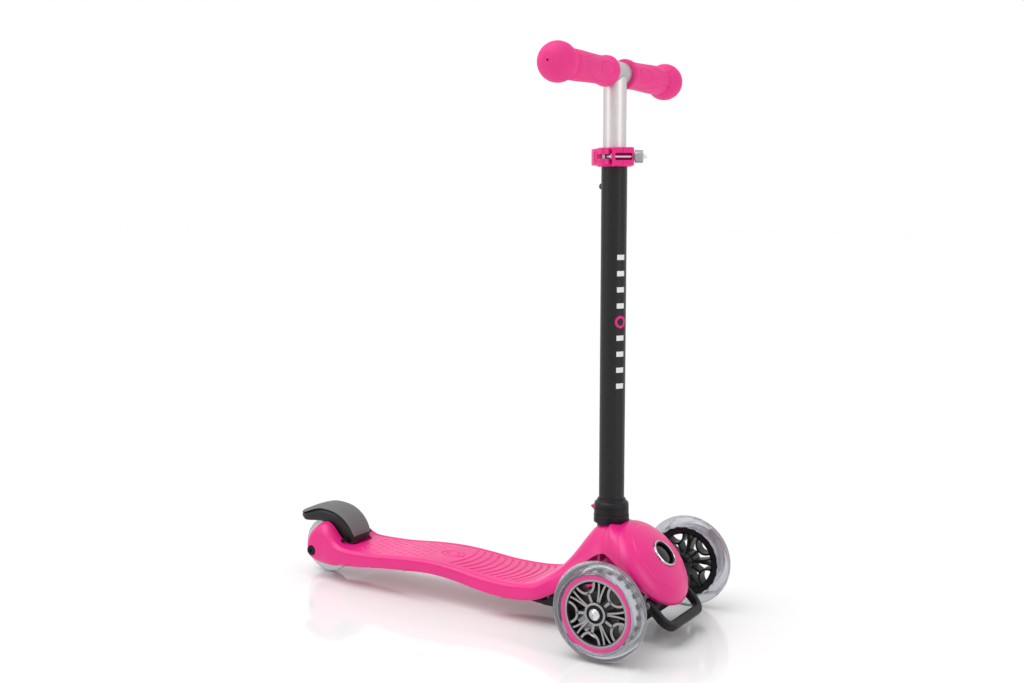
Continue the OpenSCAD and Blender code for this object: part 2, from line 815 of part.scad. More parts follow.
// Liner that the bar slides into
module bar_socket() {
    color(black)
    difference() {
        translate([bar_x, 0, 0])
            tube(liner_r, bar_r + socket_gap, socket_floor, collar_low);
        translate([bar_x - bar_r - 16, -5, collar_low - 9])
            cube([16, 10, 20]);
    }
}
module bar_socket_ring() {
    color(black)
    difference() {
        translate([bar_x, 0, 0])
            tube(collar_r + 0.5, bar_r + socket_gap, collar_low, collar_low + 10);
        translate([bar_x - collar_r - 2, -3.8, collar_low + 2])
            cube([8, 7.6, 9]);
    }
}
module release_catch() {
    color(pink)
    difference() {
        union() {
            translate([catch_x, 0, catch_z])
                across(0, 0, -3.4, 3.4, 2.2);
            side_plate(-3.4, 3.4)
                polygon([
                    [catch_x + 1.8, catch_z - 8], [catch_x + 1.8, catch_z + 2], [catch_x - 1, catch_z + 4.5],
                    [catch_x - 6, catch_z + 5.5], [catch_x - 6.6, catch_z + 3.6], [catch_x - 2.2, catch_z],
                    [catch_x - 0.6, catch_z - 8]
                ]);
        }
        translate([catch_x, 0, catch_z])
            across(0, 0, -8, 8, 1.2 + run_gap);
    }
}
module catch_pin() {
    color(steel)
    translate([catch_x, 0, catch_z])
        across(0, 0, -6, 6, 1.2);
}
module catch_spring() {
    color(steel)
    translate([catch_x + 2.1, 0, catch_z - 7])
        rotate([0, 90, 0])
            tube(1.8, 1.1, 0, 2.3);
}

// ---- Loop under the nose ----
loop_x = front_x + 26.5;
loop_z = axle_z - 9;
loop_pin_r = 2.5;
loop_low_x = front_x + 53;
loop_low_z = axle_z - 34.5;
loop_bar_r = 6.5;
loop_inner = 44.4;
loop_outer = 53;
module front_loop() {
    color(black)
    difference() {
        union() {
            for (side = [-1, 1])
                side_plate(side > 0 ? loop_inner : -loop_outer, side > 0 ? loop_outer : -loop_inner)
                    union() {
                        translate([loop_x, loop_z])
                            circle(r = 6.2);
                        polygon([
                            [loop_x - 4.4, loop_z - 4.4], [loop_x + 4.4, loop_z + 4.4],
                            [loop_low_x + 5.2, loop_low_z + 3.9], [loop_low_x - 5.2, loop_low_z - 3.9]
                        ]);
                        translate([loop_low_x, loop_low_z])
                            circle(r = loop_bar_r);
                    }
            across(loop_low_x, loop_low_z, -loop_inner - 1, loop_inner + 1, loop_bar_r - 0.5);
        }
        across(loop_x, loop_z, -70, 70, loop_pin_r + run_gap);
    }
}
module loop_pins() {
    color(steel)
    for (side = [-1, 1]) {
        across(loop_x, loop_z, side > 0 ? 33 : -loop_outer - 0.4, side > 0 ? loop_outer + 0.4 : -33,
               loop_pin_r);
        across(loop_x, loop_z, side > 0 ? loop_outer + 0.4 : -loop_outer - 2, side > 0
               ? loop_outer + 2 : -loop_outer - 0.4, 4.2);
    }
}

// ---- Bar ----
bush_h = 25;
snap_z = axle_z + 496.5;
snap_r = 3.6;
bar_bore = bar_r - bar_wall;
module lower_tube() {
    color(black)
    translate([bar_x, 0, 0])
        difference() {
            tube(bar_r, bar_bore, bar_low, bar_top);
            translate([0, 0, bar_top - bush_h])
                cylinder(r = bar_bore + 0.7, h = bush_h + 1);
            translate([-bar_r - 3, 0, snap_z])
                rotate([0, 90, 0])
                    cylinder(r = snap_r + 0.2, h = bar_r);
            translate([-bar_r - 3, 0, catch_z - 6])
                rotate([0, 90, 0])
                    cylinder(r = 2.6, h = bar_r);
        }
}
module foot_plug() {
    color(black)
    translate([bar_x, 0, bar_low]) {
        cylinder(r = bar_bore, h = 22);
    }
}
module tube_bush() {
    color([0.3, 0.3, 0.3])
    translate([bar_x, 0, 0])
        tube(bar_bore + 0.7, stem_r + run_gap, bar_top - bush_h, bar_top);
}
// Clamp frame: local +X points to the ears and local +Y to the thumb nut.
clamp_z = bar_top + 3 - clamp_h;
bolt_out = 25;
clamp_bolt_r = 2.5;
nut_at = 22.5;
cam_at = -15;
cam_r = 7.5;
module in_clamp() {
    translate([bar_x, 0, clamp_z])
        rotate([0, 0, -clamp_turn])
            children();
}
module clamp_band() {
    color(pink)
    in_clamp()
        difference() {
            union() {
                cylinder(r = bar_r + 5.4, h = clamp_h, $fn = 64);
                translate([8, -5.5, 0])
                    cube([23, 27, clamp_h]);
            }
            translate([0, 0, -1])
                cylinder(r = bar_r + 0.02, h = clamp_h - 2, $fn = 64);
            translate([0, 0, clamp_h - 4])
                cylinder(r = stem_r + 0.7, h = 10, $fn = 64);
            // Split between the ears
            translate([8, 7, -1])
                cube([40, 2, clamp_h + 2]);
            // Window that shows the bolt
            translate([bolt_out - 3, 0.5, clamp_h / 2 - 3.2])
                cube([20, 18, 6.4]);
            translate([bolt_out, -20, clamp_h / 2])
                rotate([-90, 0, 0])
                    cylinder(r = clamp_bolt_r + 0.1, h = 60);
        }
}
module clamp_bolt() {
    color(silver)
    in_clamp()
        translate([bolt_out, cam_at + 3.5, clamp_h / 2])
            rotate([-90, 0, 0]) {
                cylinder(r = clamp_bolt_r, h = nut_at - cam_at + 9);
                translate([0, 0, nut_at - cam_at + 9])
                    intersection() {
                        cylinder(r = clamp_bolt_r, h = 2.4);
                        translate([0, 0, -0.4])
                            sphere(r = 2.8);
                    }
            }
}
module clamp_washer() {
    color(steel)
    in_clamp()
        translate([bolt_out, -6.9, clamp_h / 2])
            rotate([-90, 0, 0])
                difference() {
                    cylinder(r = 4.2, h = 1.35);
                    translate([0, 0, -1])
                        cylinder(r = clamp_bolt_r + 0.1, h = 4);
                }
}
module clamp_nut() {
    knurls = 24;
    color(steel)
    in_clamp()
        translate([bolt_out, nut_at - 0.6, clamp_h / 2])
            rotate([-90, 0, 0])
                difference() {
                    union() {
                        cylinder(r = 5, h = 1.2);
                        translate([0, 0, 1])
                            cylinder(r = 7.8, h = 9.4);
                    }
                    translate([0, 0, -1])
                        cylinder(r = clamp_bolt_r + run_gap, h = 20);
                    for (k = [0 : knurls - 1])
                        rotate([0, 0, k * 360 / knurls])
                            translate([8, 0, 3])
                                cylinder(r = 0.45, h = 5.6, $fn = 16);
                }
}
lever_in = bar_r + 5.4 + face_gap;
lever_out = lever_in + 6.6;
lever_z = 1.5;
module clamp_lever() {
    color(pink)
    in_clamp()
        translate([0, 0, lever_z])
            difference() {
                union() {
                    translate([bolt_out, cam_at, 0])
                        cylinder(r = cam_r, h = clamp_h - 2 * lever_z);
                    // The finger part wraps around the band
                    intersection() {
                        tube(lever_out, lever_in, 0, clamp_h - 2 * lever_z);
                        linear_extrude(60)
                            polygon([
                                2 * [bolt_out, cam_at], [40, -60], [-60, -60], [-60, 8], [-24, 3.5],
                                [0, 0]
                            ]);
                    }
                }
                // Clear of the band, the washer and the bolt
                translate([0, 0, -5])
                    cylinder(r = lever_in, h = 60, $fn = 64);
                translate([bolt_out - 20, -6.9 - 0.3, -5])
                    cube([40, 30, 60]);
                translate([bolt_out - 3.2, cam_at - 20, clamp_h / 2 - lever_z - 3.2])
                    cube([30, 40, 6.4]);
                translate([bolt_out, cam_at, -5])
                    cylinder(r = 2 + run_gap, h = 60);
            }
}
module cam_pin() {
    color(steel)
    in_clamp()
        translate([bolt_out, cam_at, lever_z])
            cylinder(r = 2, h = clamp_h - 2 * lever_z);
}

// ---- Stem ----
stem_low = bar_top - 150;
slot_half = slide + snap_r + 1;
module upper_tube() {
    color(silver)
    difference() {
        translate([bar_x, 0, 0])
            tube(stem_r, stem_r - stem_wall, stem_low, handle_z - 9);
        // Slot for the snap button
        translate([bar_x - 20, -snap_r - 0.3, snap_z - slot_half])
            cube([16, 2 * snap_r + 0.6, 2 * slot_half]);
        across(bar_x, handle_z, -20, 20, cross_r);
    }
}
cross_r = 14;
cross_half = handle_w / 2 - 12;
module cross_tube() {
    color(silver)
    difference() {
        across(bar_x, handle_z, -cross_half, cross_half, cross_r);
        across(bar_x, handle_z, -cross_half - 1, cross_half + 1, cross_r - 1.5);
    }
}
module weld_bead() {
    color(silver)
    difference() {
        translate([bar_x, 0, handle_z - 15])
            cylinder(r1 = stem_r + 0.9, r2 = stem_r + 0.4, h = 8, $fn = 48);
        translate([bar_x, 0, handle_z - 20])
            cylinder(r = stem_r + 0.02, h = 30);
        across(bar_x, handle_z, -30, 30, cross_r + 0.02);
    }
}
grip_from = 21;
grip_len = handle_w / 2 - grip_from;
ball_r = grip_d / 2;
// Half section of a grip: radius against distance from its inner end.
grip_line = [
    [cross_r, 0], [17.2, 0], [18.5, 1.4], [18.9, 5], [18.4, 9], [17.3, 13], [16.9, 20], [17.1, 40],
    [17.6, 60], [18.2, grip_len - 52], [19.2, grip_len - 47],
    for (a = [-52 : 8 : 76]) [ball_r * cos(a), grip_len - ball_r + ball_r * sin(a)],
    [4, grip_len], [streamer_r, grip_len - 0.4], [streamer_r, grip_len - 8], [cross_r, grip_len - 11.5]
];
module grip(side) {
    color(pink)
    translate([bar_x, side * grip_from, handle_z])
        rotate([side > 0 ? -90 : 90, 0, 0])
            rotate_extrude($fn = 64)
                polygon(grip_line);
}
module left_grip() { grip(1); }
module right_grip() { grip(-1); }
snap_out = 4.5;
module snap_button() {
    color([0.25, 0.25, 0.27])
    translate([bar_x, 0, snap_z])
        rotate([0, -90, 0]) {
            translate([0, 0, bar_r - 4])
                cylinder(r = snap_r, h = 4 + snap_out - 1.6);
            translate([0, 0, bar_r + snap_out - 1.6])
                intersection() {
                    cylinder(r = snap_r, h = 1.6);
                    translate([0, 0, -3.2])
                        sphere(r = 4.8);
                }
        }
}
module snap_spring() {
    color(steel)
    translate([bar_x, 0, snap_z])
        side_plate(-2.6, 2.6)
            polygon([
                [-11.9, 8], [-11.9, -8], [-11.2, -8], [-8, -40], [8, -40], [9, -38], [12.4, -10], [12.4, 6],
                [11.8, 6], [11.8, -10], [8, -38.8], [-7.4, -38.8], [-10.6, -8], [-11.2, 8]
            ]);
}

deck();
under_cover();
cover_screws();
kingpin();
kingpin_nut();
centring_springs();
rear_axle();
rear_axle_nut();
brake_pin();
brake_spring();
lock_bezel();
lock_spring();
bar_socket();
bar_collar();
catch_pin();
catch_spring();
loop_pins();
bar_socket_ring();
steering_beam();
beam_bushes();
left_wheel_bolt();
right_wheel_bolt();
left_tyre();
left_core();
left_trim_ring();
left_bearings();
left_spacer();
right_tyre();
right_core();
right_trim_ring();
right_bearings();
right_spacer();
rear_tyre();
rear_core();
rear_bearings();
rear_spacer();
brake_fender();
fender_skin();
brake_lining();
lock_button();
release_catch();
front_loop();
lower_tube();
foot_plug();
tube_bush();
clamp_band();
clamp_bolt();
clamp_washer();
clamp_nut();
clamp_lever();
cam_pin();
snap_button();
snap_spring();
upper_tube();
cross_tube();
weld_bead();
left_grip();
right_grip();
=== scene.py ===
# %% [markdown]
# # A three-wheeled kick scooter
#
# This lesson dresses a small child's lean-to-steer scooter. The mechanical model comes in as a frame: it
# says where every part is and how it moves. Blender adds what a frame can't have: soft edges, tread,
# moulding marks, clear rubber and the finish of each material.
#
# Everything is in metres. The scooter points along +X, the rider's left is +Y, and +Z is up.

# %% Load the frame
import math

import bmesh
import bpy
import numpy as np
from mathutils import Matrix, Vector


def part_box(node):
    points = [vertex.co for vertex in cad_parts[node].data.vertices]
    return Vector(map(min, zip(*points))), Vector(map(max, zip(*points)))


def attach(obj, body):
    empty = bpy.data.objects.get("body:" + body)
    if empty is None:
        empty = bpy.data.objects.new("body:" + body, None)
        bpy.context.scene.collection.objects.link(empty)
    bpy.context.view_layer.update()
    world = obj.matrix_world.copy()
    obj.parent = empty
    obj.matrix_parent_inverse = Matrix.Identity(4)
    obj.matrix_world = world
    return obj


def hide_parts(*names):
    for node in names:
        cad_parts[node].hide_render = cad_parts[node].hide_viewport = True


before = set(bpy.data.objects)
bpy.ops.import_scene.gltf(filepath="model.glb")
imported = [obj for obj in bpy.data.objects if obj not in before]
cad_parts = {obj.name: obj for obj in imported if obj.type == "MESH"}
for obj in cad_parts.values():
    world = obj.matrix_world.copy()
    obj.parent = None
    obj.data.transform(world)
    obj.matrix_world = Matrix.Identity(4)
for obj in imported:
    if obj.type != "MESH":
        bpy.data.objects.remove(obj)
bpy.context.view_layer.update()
MM = 0.001


def span(node):
    """The lowest and highest corner of a part, in millimetres."""
    low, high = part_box(node)
    return np.array(low) / MM, np.array(high) / MM


def centre(node):
    low, high = span(node)
    return (low + high) / 2


# %% [markdown]
# ## Measures
#
# A few driving sizes are read from the frame's own parts, so that nothing here can drift away from it.
# Millimetres are easier to read than metres for a thing of this size, so shapes are worked out in
# millimetres, and turned into metres when a mesh is made.

# %% Measure the frame
front_x, _, axle_z = centre("left_tyre")
rear_x, _, rear_z = centre("rear_tyre")
front_r = (span("left_tyre")[1][2] - span("left_tyre")[0][2]) / 2
rear_r = rear_z
half_track = centre("left_core")[1]
bar_x = centre("cross_tube")[0]
handle_z = centre("cross_tube")[2]
deck_half = 59.0
nose_lean = math.radians(40)
nose_r = 60.5
nose_dome = 22.0
button_x = front_x + 24.6
button_z = axle_z + 43.5
print("front axle at", round(front_x, 1), round(axle_z, 1), "rear axle at", round(rear_x, 1))

# %% [markdown]
# ## Helpers for shapes
#
# Most moulded parts here are one of four things: a turned shape, a loft through a row of sections, a flat
# outline with a thickness, or one of those with pieces cut out of it. Each gets one small function.
# Edges sharper than about thirty degrees stay crisp, and the rest is shaded smooth.

# %% Helpers that make meshes
pieces_made = []


def to_object(name, bm, sharp=32):
    """Turns a bmesh in millimetres into an object in metres, with crisp edges kept crisp."""
    bmesh.ops.scale(bm, vec=(MM, MM, MM), verts=bm.verts)
    mesh = bpy.data.meshes.new(name)
    bm.to_mesh(mesh)
    bm.free()
    piece = bpy.data.objects.new(name, mesh)
    bpy.context.scene.collection.objects.link(piece)
    smooth_by_angle(piece, sharp)
    return piece


def smooth_by_angle(piece, sharp=32):
    for polygon in piece.data.polygons:
        polygon.use_smooth = True
    piece.data.set_sharp_from_angle(angle=math.radians(sharp))


def grid_mesh(bm, rows, close_rows=False, cap=True):
    """Faces between rings of points. Each row is one closed ring."""
    rings = [[bm.verts.new(p) for p in row] for row in rows]
    pairs = list(zip(rings[:-1], rings[1:]))
    if close_rows:
        pairs.append((rings[-1], rings[0]))
    for a, b in pairs:
        for k in range(len(a)):
            n = (k + 1) % len(a)
            bm.faces.new((a[k], a[n], b[n], b[k]))
    if cap and not close_rows:
        bm.faces.new(rings[0][::-1])
        bm.faces.new(rings[-1])
    return rings


def loft(name, rows, sharp=32):
    bm = bmesh.new()
    grid_mesh(bm, rows)
    bmesh.ops.recalc_face_normals(bm, faces=bm.faces)
    return to_object(name, bm, sharp)


def place(origin, along, up=(0, 0, 1)):
    """A matrix whose local Z runs along a direction from an origin, in millimetres."""
    z = Vector(along).normalized()
    x = Vector(up).cross(z)
    x = Vector((1, 0, 0)) if x.length < 1e-6 else x.normalized()
    y = z.cross(x)
    return Matrix.Translation(Vector(origin)) @ Matrix((x, y, z)).transposed().to_4x4()


def turned(name, profile, at, steps=96, sharp=32):
    """A shape turned about a matrix's local Z. The profile is a closed loop of (radius, height)."""
    bm = bmesh.new()
    rows = []
    for k in range(steps):
        a = 2 * math.pi * k / steps
        rows.append([at @ Vector((r * math.cos(a), r * math.sin(a), h)) for r, h in profile])
    grid_mesh(bm, rows, close_rows=True)
    bmesh.ops.remove_doubles(bm, verts=bm.verts, dist=0.002)
    bmesh.ops.dissolve_degenerate(bm, dist=0.002, edges=bm.edges)
    bmesh.ops.recalc_face_normals(bm, faces=bm.faces)
    return to_object(name, bm, sharp)


def plate(name, outline, at, thick, holes=()):
    """A flat outline in a matrix's XY plane, with a thickness along its Z."""
    bm = bmesh.new()
    for loop in [outline, *holes]:
        low = [bm.verts.new(at @ Vector((x, y, 0))) for x, y in loop]
        high = [bm.verts.new(at @ Vector((x, y, thick))) for x, y in loop]
        for k in range(len(loop)):
            n = (k + 1) % len(loop)
            bm.faces.new((low[k], low[n], high[n], high[k]))
        if not holes:
            bm.faces.new(low[::-1])
            bm.faces.new(high)
    bmesh.ops.recalc_face_normals(bm, faces=bm.faces)
    return to_object(name, bm)


def block(name, low, high):
    bm = bmesh.new()
    bmesh.ops.create_cube(bm, size=1)
    size = np.array(high, float) - np.array(low, float)
    middle = (np.array(high, float) + np.array(low, float)) / 2
    bmesh.ops.scale(bm, vec=size, verts=bm.verts)
    bmesh.ops.translate(bm, vec=middle, verts=bm.verts)
    return to_object(name, bm)


def rod(name, start, end, radius, steps=64):
    length = (Vector(end) - Vector(start)).length
    return turned(name, [(0, 0), (radius, 0), (radius, length), (0, length)],
                  place(start, Vector(end) - Vector(start), (1, 0, 0.01)), steps)


# %% [markdown]
# ### Cutting, joining and softening
#
# Moulds and machining leave cut shapes with small rounded edges. A Boolean modifier makes the cut and a
# Bevel modifier the rounding, and both are applied at once, so that every piece stays a plain mesh. The
# last helper gives a piece its material, hangs it on an empty for its body, and hides the frame parts that
# it replaces.

# %% Helpers that cut, join and soften
def apply_modifiers(piece):
    """Replaces a piece's mesh by the result of its modifiers."""
    graph = bpy.context.evaluated_depsgraph_get()
    mesh = bpy.data.meshes.new_from_object(piece.evaluated_get(graph))
    piece.modifiers.clear()
    old = piece.data
    piece.data = mesh
    bpy.data.meshes.remove(old)
    return piece


def cut(piece, *tools, operation="DIFFERENCE", sharp=32):
    """Cuts tools out of a piece, or joins or trims with them, and throws the tools away."""
    for tool in tools:
        step = piece.modifiers.new("cut", "BOOLEAN")
        step.operation = operation
        step.solver = "MANIFOLD"
        step.object = tool
        apply_modifiers(piece)
        bpy.data.objects.remove(tool)
    smooth_by_angle(piece, sharp)
    return piece


def join(name, parts):
    bm = bmesh.new()
    for part in parts:
        bm.from_mesh(part.data)
        bpy.data.objects.remove(part)
    bmesh.ops.scale(bm, vec=(1 / MM,) * 3, verts=bm.verts)
    return to_object(name, bm)


def outward(piece):
    """Turns a closed piece's faces outwards."""
    bm = bmesh.new()
    bm.from_mesh(piece.data)
    bmesh.ops.recalc_face_normals(bm, faces=bm.faces)
    bm.to_mesh(piece.data)
    bm.free()


def soften(piece, width, steps=3, angle=38, sharp=32):
    """Rounds a piece's edges by a width in millimetres."""
    bevel = piece.modifiers.new("soft edge", "BEVEL")
    bevel.width = width * MM
    bevel.segments = steps
    bevel.limit_method = "ANGLE"
    bevel.angle_limit = math.radians(angle)
    apply_modifiers(piece)
    smooth_by_angle(piece, sharp)
    return piece


def copy_of(node, name):
    """A merged copy of a frame part, with its flat faces whole again."""
    bm = bmesh.new()
    bm.from_mesh(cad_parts[node].data)
    bmesh.ops.remove_doubles(bm, verts=bm.verts, dist=1e-6)
    bmesh.ops.dissolve_limit(bm, angle_limit=math.radians(0.6), verts=bm.verts, edges=bm.edges)
    bmesh.ops.scale(bm, vec=(1 / MM,) * 3, verts=bm.verts)
    return to_object(name, bm)


def finished(piece, body, slot, material, *nodes):
    """Gives a piece its material, its body and the frame parts that it stands for."""
    if material is not None:
        piece.data.materials.clear()
        piece.data.materials.append(material)
    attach(piece, body)
    if nodes:
        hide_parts(*nodes)
    pieces_made.append(piece.name)
    return piece


# %% [markdown]
# ## Finishes
#
# Each finish is a small node tree on Object coordinates, so its grain keeps its real size on every part.
# A moulded plastic is never one flat colour: it drifts a little where the melt flowed, it shines unevenly,
# and its surface has a fine spark-eroded grain. A single function makes that family, and the metals and
# the clear rubber get their own.

# %% Moulded plastics
def tree_of(name):
    material = bpy.data.materials.new(name)
    material.use_nodes = True
    nodes, links = material.node_tree.nodes, material.node_tree.links
    return material, nodes, links, nodes["Principled BSDF"]


def noise_on(nodes, links, scale, detail=3.0, stretch=(1, 1, 1)):
    coords = nodes.new("ShaderNodeTexCoord")
    mapping = nodes.new("ShaderNodeMapping")
    mapping.inputs["Scale"].default_value = stretch
    texture = nodes.new("ShaderNodeTexNoise")
    texture.inputs["Scale"].default_value = scale
    texture.inputs["Detail"].default_value = detail
    links.new(coords.outputs["Object"], mapping.inputs["Vector"])
    links.new(mapping.outputs["Vector"], texture.inputs["Vector"])
    return texture


def ramp_of(nodes, links, source, low, high, start=0.35, end=0.65):
    ramp = nodes.new("ShaderNodeValToRGB")
    ramp.color_ramp.elements[0].position = start
    ramp.color_ramp.elements[1].position = end
    ramp.color_ramp.elements[0].color = (*low, 1)
    ramp.color_ramp.elements[1].color = (*high, 1)
    links.new(source, ramp.inputs["Fac"])
    return ramp


def shade(colour, amount):
    return tuple(min(1, c * amount) for c in colour)


def vary_gloss(nodes, links, shader, source, low, high):
    """Makes the roughness drift between two values."""
    gloss = nodes.new("ShaderNodeMapRange")
    gloss.inputs["To Min"].default_value = low
    gloss.inputs["To Max"].default_value = high
    links.new(source, gloss.inputs["Value"])
    links.new(gloss.outputs["Result"], shader.inputs["Roughness"])


def raise_grain(nodes, links, shader, source, strength, depth):
    """Adds a fine grain of a depth in metres."""
    bump = nodes.new("ShaderNodeBump")
    bump.inputs["Strength"].default_value = strength
    bump.inputs["Distance"].default_value = depth
    links.new(source, bump.inputs["Height"])
    links.new(bump.outputs["Normal"], shader.inputs["Normal"])


def moulded(name, colour, rough, grain=1500, depth=0.00004, drift=0.05, coat=0.0, pebble=0, shine=0.5):
    """A moulded plastic or rubber: drifting colour, uneven gloss, and a fine grain."""
    material, nodes, links, shader = tree_of(name)
    cloud = noise_on(nodes, links, 14, 2)
    tint = ramp_of(nodes, links, cloud.outputs["Fac"], shade(colour, 1 - drift), shade(colour, 1 + drift))
    links.new(tint.outputs["Color"], shader.inputs["Base Color"])
    wear = noise_on(nodes, links, 60, 5)
    vary_gloss(nodes, links, shader, wear.outputs["Fac"], rough - 0.05, rough + 0.06)
    if pebble:
        coords = nodes.new("ShaderNodeTexCoord")
        surface = nodes.new("ShaderNodeTexVoronoi")
        surface.inputs["Scale"].default_value = pebble
        links.new(coords.outputs["Object"], surface.inputs["Vector"])
        height = surface.outputs["Distance"]
    else:
        height = noise_on(nodes, links, grain, 2).outputs["Fac"]
    raise_grain(nodes, links, shader, height, 0.6, depth)
    shader.inputs["Specular IOR Level"].default_value = shine
    shader.inputs["Coat Weight"].default_value = coat
    shader.inputs["Coat Roughness"].default_value = 0.2
    return material


pink_shell = moulded("pink moulded shell", (0.80, 0.010, 0.225), 0.34, shine=0.5)
pink_grip = moulded("pink soft grip rubber", (0.82, 0.034, 0.245), 0.60, depth=0.00008, pebble=900,
                    shine=0.35)
pink_trim = moulded("pink wheel trim", (0.76, 0.045, 0.27), 0.42)
black_shell = moulded("black textured plastic", (0.007, 0.007, 0.009), 0.42, 900, 0.0001, 0.15, shine=0.25)
black_gloss = moulded("black lock button", (0.003, 0.003, 0.0035), 0.16, shine=0.35)
core_dark = moulded("dark wheel core", (0.012, 0.012, 0.014), 0.40, 900, 0.00006, 0.15, shine=0.25)
fender_dark = moulded("charcoal fender", (0.012, 0.012, 0.0125), 0.38, 900, 0.00006, 0.12, shine=0.3)
fender_grey = moulded("grey foot pad", (0.165, 0.162, 0.168), 0.6, depth=0.0003, pebble=700, shine=0.3)
bush_grey = moulded("grey nylon", (0.055, 0.055, 0.060), 0.5)
print("plastics:", len(bpy.data.materials))


# %% [markdown]
# ### Metals and clear rubber
#
# The tubes are aluminium that was polished lengthways and then anodised, so their noise is stretched
# along the tube. Zinc-plated steel is duller and blotched. The tyres are clear polyurethane: light goes
# through them, bends, and picks up a little haze on the way.

# %% Metals and clear rubber
def metal(name, colour, rough, stretch=(1, 1, 1), scale=400, depth=0.00001, drift=0.06):
    material, nodes, links, shader = tree_of(name)
    shader.inputs["Metallic"].default_value = 1.0
    lines = noise_on(nodes, links, scale, 3, stretch)
    tint = ramp_of(nodes, links, lines.outputs["Fac"], shade(colour, 1 - drift), shade(colour, 1 + drift))
    links.new(tint.outputs["Color"], shader.inputs["Base Color"])
    vary_gloss(nodes, links, shader, lines.outputs["Fac"], max(0.02, rough - 0.07), rough + 0.07)
    raise_grain(nodes, links, shader, lines.outputs["Fac"], 0.4, depth)
    return material


silver_tube = metal("anodised aluminium tube", (0.62, 0.585, 0.59), 0.46, (1, 1, 0.04), 1500)
silver_cross = metal("anodised cross tube", (0.50, 0.49, 0.50), 0.38, (1, 0.04, 1), 900)
zinc_steel = metal("zinc plated steel", (0.36, 0.36, 0.375), 0.34, scale=120)
chrome = metal("chrome", (0.62, 0.62, 0.64), 0.12, scale=60, drift=0.03)
silver_paint = metal("silver painted edge", (0.33, 0.33, 0.34), 0.42, scale=1200)
black_steel = metal("blackened steel", (0.022, 0.022, 0.024), 0.42, scale=200)


def painted_tube(name, low, high):
    """Black satin paint on a tube, with a plain printed graphic of bars beside a ring on its right side."""
    material, nodes, links, shader = tree_of(name)
    coords = nodes.new("ShaderNodeTexCoord")
    split = nodes.new("ShaderNodeSeparateXYZ")
    links.new(coords.outputs["Object"], split.inputs["Vector"])

    def math_node(kind, a, b=None, c=None):
        node = nodes.new("ShaderNodeMath")
        node.operation = kind
        for k, value in enumerate((a, b, c)):
            if value is None:
                continue
            if isinstance(value, (int, float)):
                node.inputs[k].default_value = value
            else:
                links.new(value, node.inputs[k])
        return node.outputs[0]

    height = split.outputs["Z"]
    forward = math_node("SUBTRACT", split.outputs["X"], bar_x * MM)
    turn = math_node("ARCTAN2", split.outputs["Y"], forward)
    # The graphic lies on the front right of the tube. Its middle is this far round, in radians.
    middle_turn = -0.48
    across_band = math_node("COMPARE", turn, middle_turn, 0.34)
    bar_count = 9
    pitch = (high - low) / bar_count
    phase = math_node("FRACT", math_node("DIVIDE", math_node("SUBTRACT", height, low), pitch))
    bar = math_node("COMPARE", phase, 0.5, 0.16)
    inside = math_node("COMPARE", height, (low + high) / 2, (high - low) / 2)
    beside = math_node("MULTIPLY", math_node("ADD", turn, -middle_turn), 0.016)
    above = math_node("SUBTRACT", height, (low + high) / 2)
    far = math_node("SQRT", math_node("ADD", math_node("MULTIPLY", beside, beside),
                                      math_node("MULTIPLY", above, above)))
    ring = math_node("COMPARE", far, 0.0062, 0.0015)
    clear = math_node("GREATER_THAN", far, 0.0115)
    bars = math_node("MULTIPLY", math_node("MULTIPLY", bar, inside), across_band)
    mask = math_node("MULTIPLY", bars, clear)
    wear = noise_on(nodes, links, 300, 4)
    paint = ramp_of(nodes, links, wear.outputs["Fac"], (0.009, 0.008, 0.0083), (0.013, 0.0115, 0.012))
    shader.inputs["Specular IOR Level"].default_value = 0.28
    mix = nodes.new("ShaderNodeMix")
    mix.data_type = "RGBA"
    links.new(mask, mix.inputs["Factor"])
    links.new(paint.outputs["Color"], mix.inputs["A"])
    mix.inputs["B"].default_value = (0.80, 0.80, 0.80, 1)
    ringed = nodes.new("ShaderNodeMix")
    ringed.data_type = "RGBA"
    links.new(ring, ringed.inputs["Factor"])
    links.new(mix.outputs["Result"], ringed.inputs["A"])
    ringed.inputs["B"].default_value = (0.80, 0.010, 0.225, 1)
    links.new(ringed.outputs["Result"], shader.inputs["Base Color"])
    vary_gloss(nodes, links, shader, wear.outputs["Fac"], 0.34, 0.44)
    raise_grain(nodes, links, shader, noise_on(nodes, links, 700, 2).outputs["Fac"], 0.3, 0.00002)
    return material


def clear_rubber(name, colour, rough):
    material, nodes, links, shader = tree_of(name)
    haze = noise_on(nodes, links, 40, 3)
    tint = ramp_of(nodes, links, haze.outputs["Fac"], shade(colour, 0.94), shade(colour, 1.04))
    links.new(tint.outputs["Color"], shader.inputs["Base Color"])
    shader.inputs["Transmission Weight"].default_value = 0.82
    shader.inputs["IOR"].default_value = 1.45
    vary_gloss(nodes, links, shader, haze.outputs["Fac"], rough, rough + 0.12)
    raise_grain(nodes, links, shader, noise_on(nodes, links, 120, 1).outputs["Fac"], 0.2, 0.00004)
    return material


clear_tyre = clear_rubber("clear tyre polyurethane", (0.60, 0.61, 0.66), 0.05)
black_paint = painted_tube("black tube paint", 0.300, 0.480)
print("finishes:", len(bpy.data.materials))

# %% [markdown]
# ## The deck moulding
#
# On the real scooter the board, the rear fork, the neck and the round nose are one large moulding. The
# frame's version is a loft through a row of sections, and so is this one, but with a smooth curve between
# the sections and many more points, so that light slides over it without breaking. Each section is
# a "superellipse": one number takes it from a circle to a box with soft corners.
#
# A section is [x, middle height, half height, half width, squareness, taper, tilt, rim].

# %% Sections of the moulding
def board(x, top, low, half, n=5.0, rim=1.0):
    return [x, (top + low) / 2, (top - low) / 2, half, n, 0, 0, rim]


def neck(dx, top, low, half, n, taper):
    return [front_x + dx, axle_z + (top + low) / 2, (top - low) / 2, half, n, taper, 0, 0]


board_back = rear_x + 65
board_front = front_x - 133


def along(f):
    return board_back + f * (board_front - board_back)


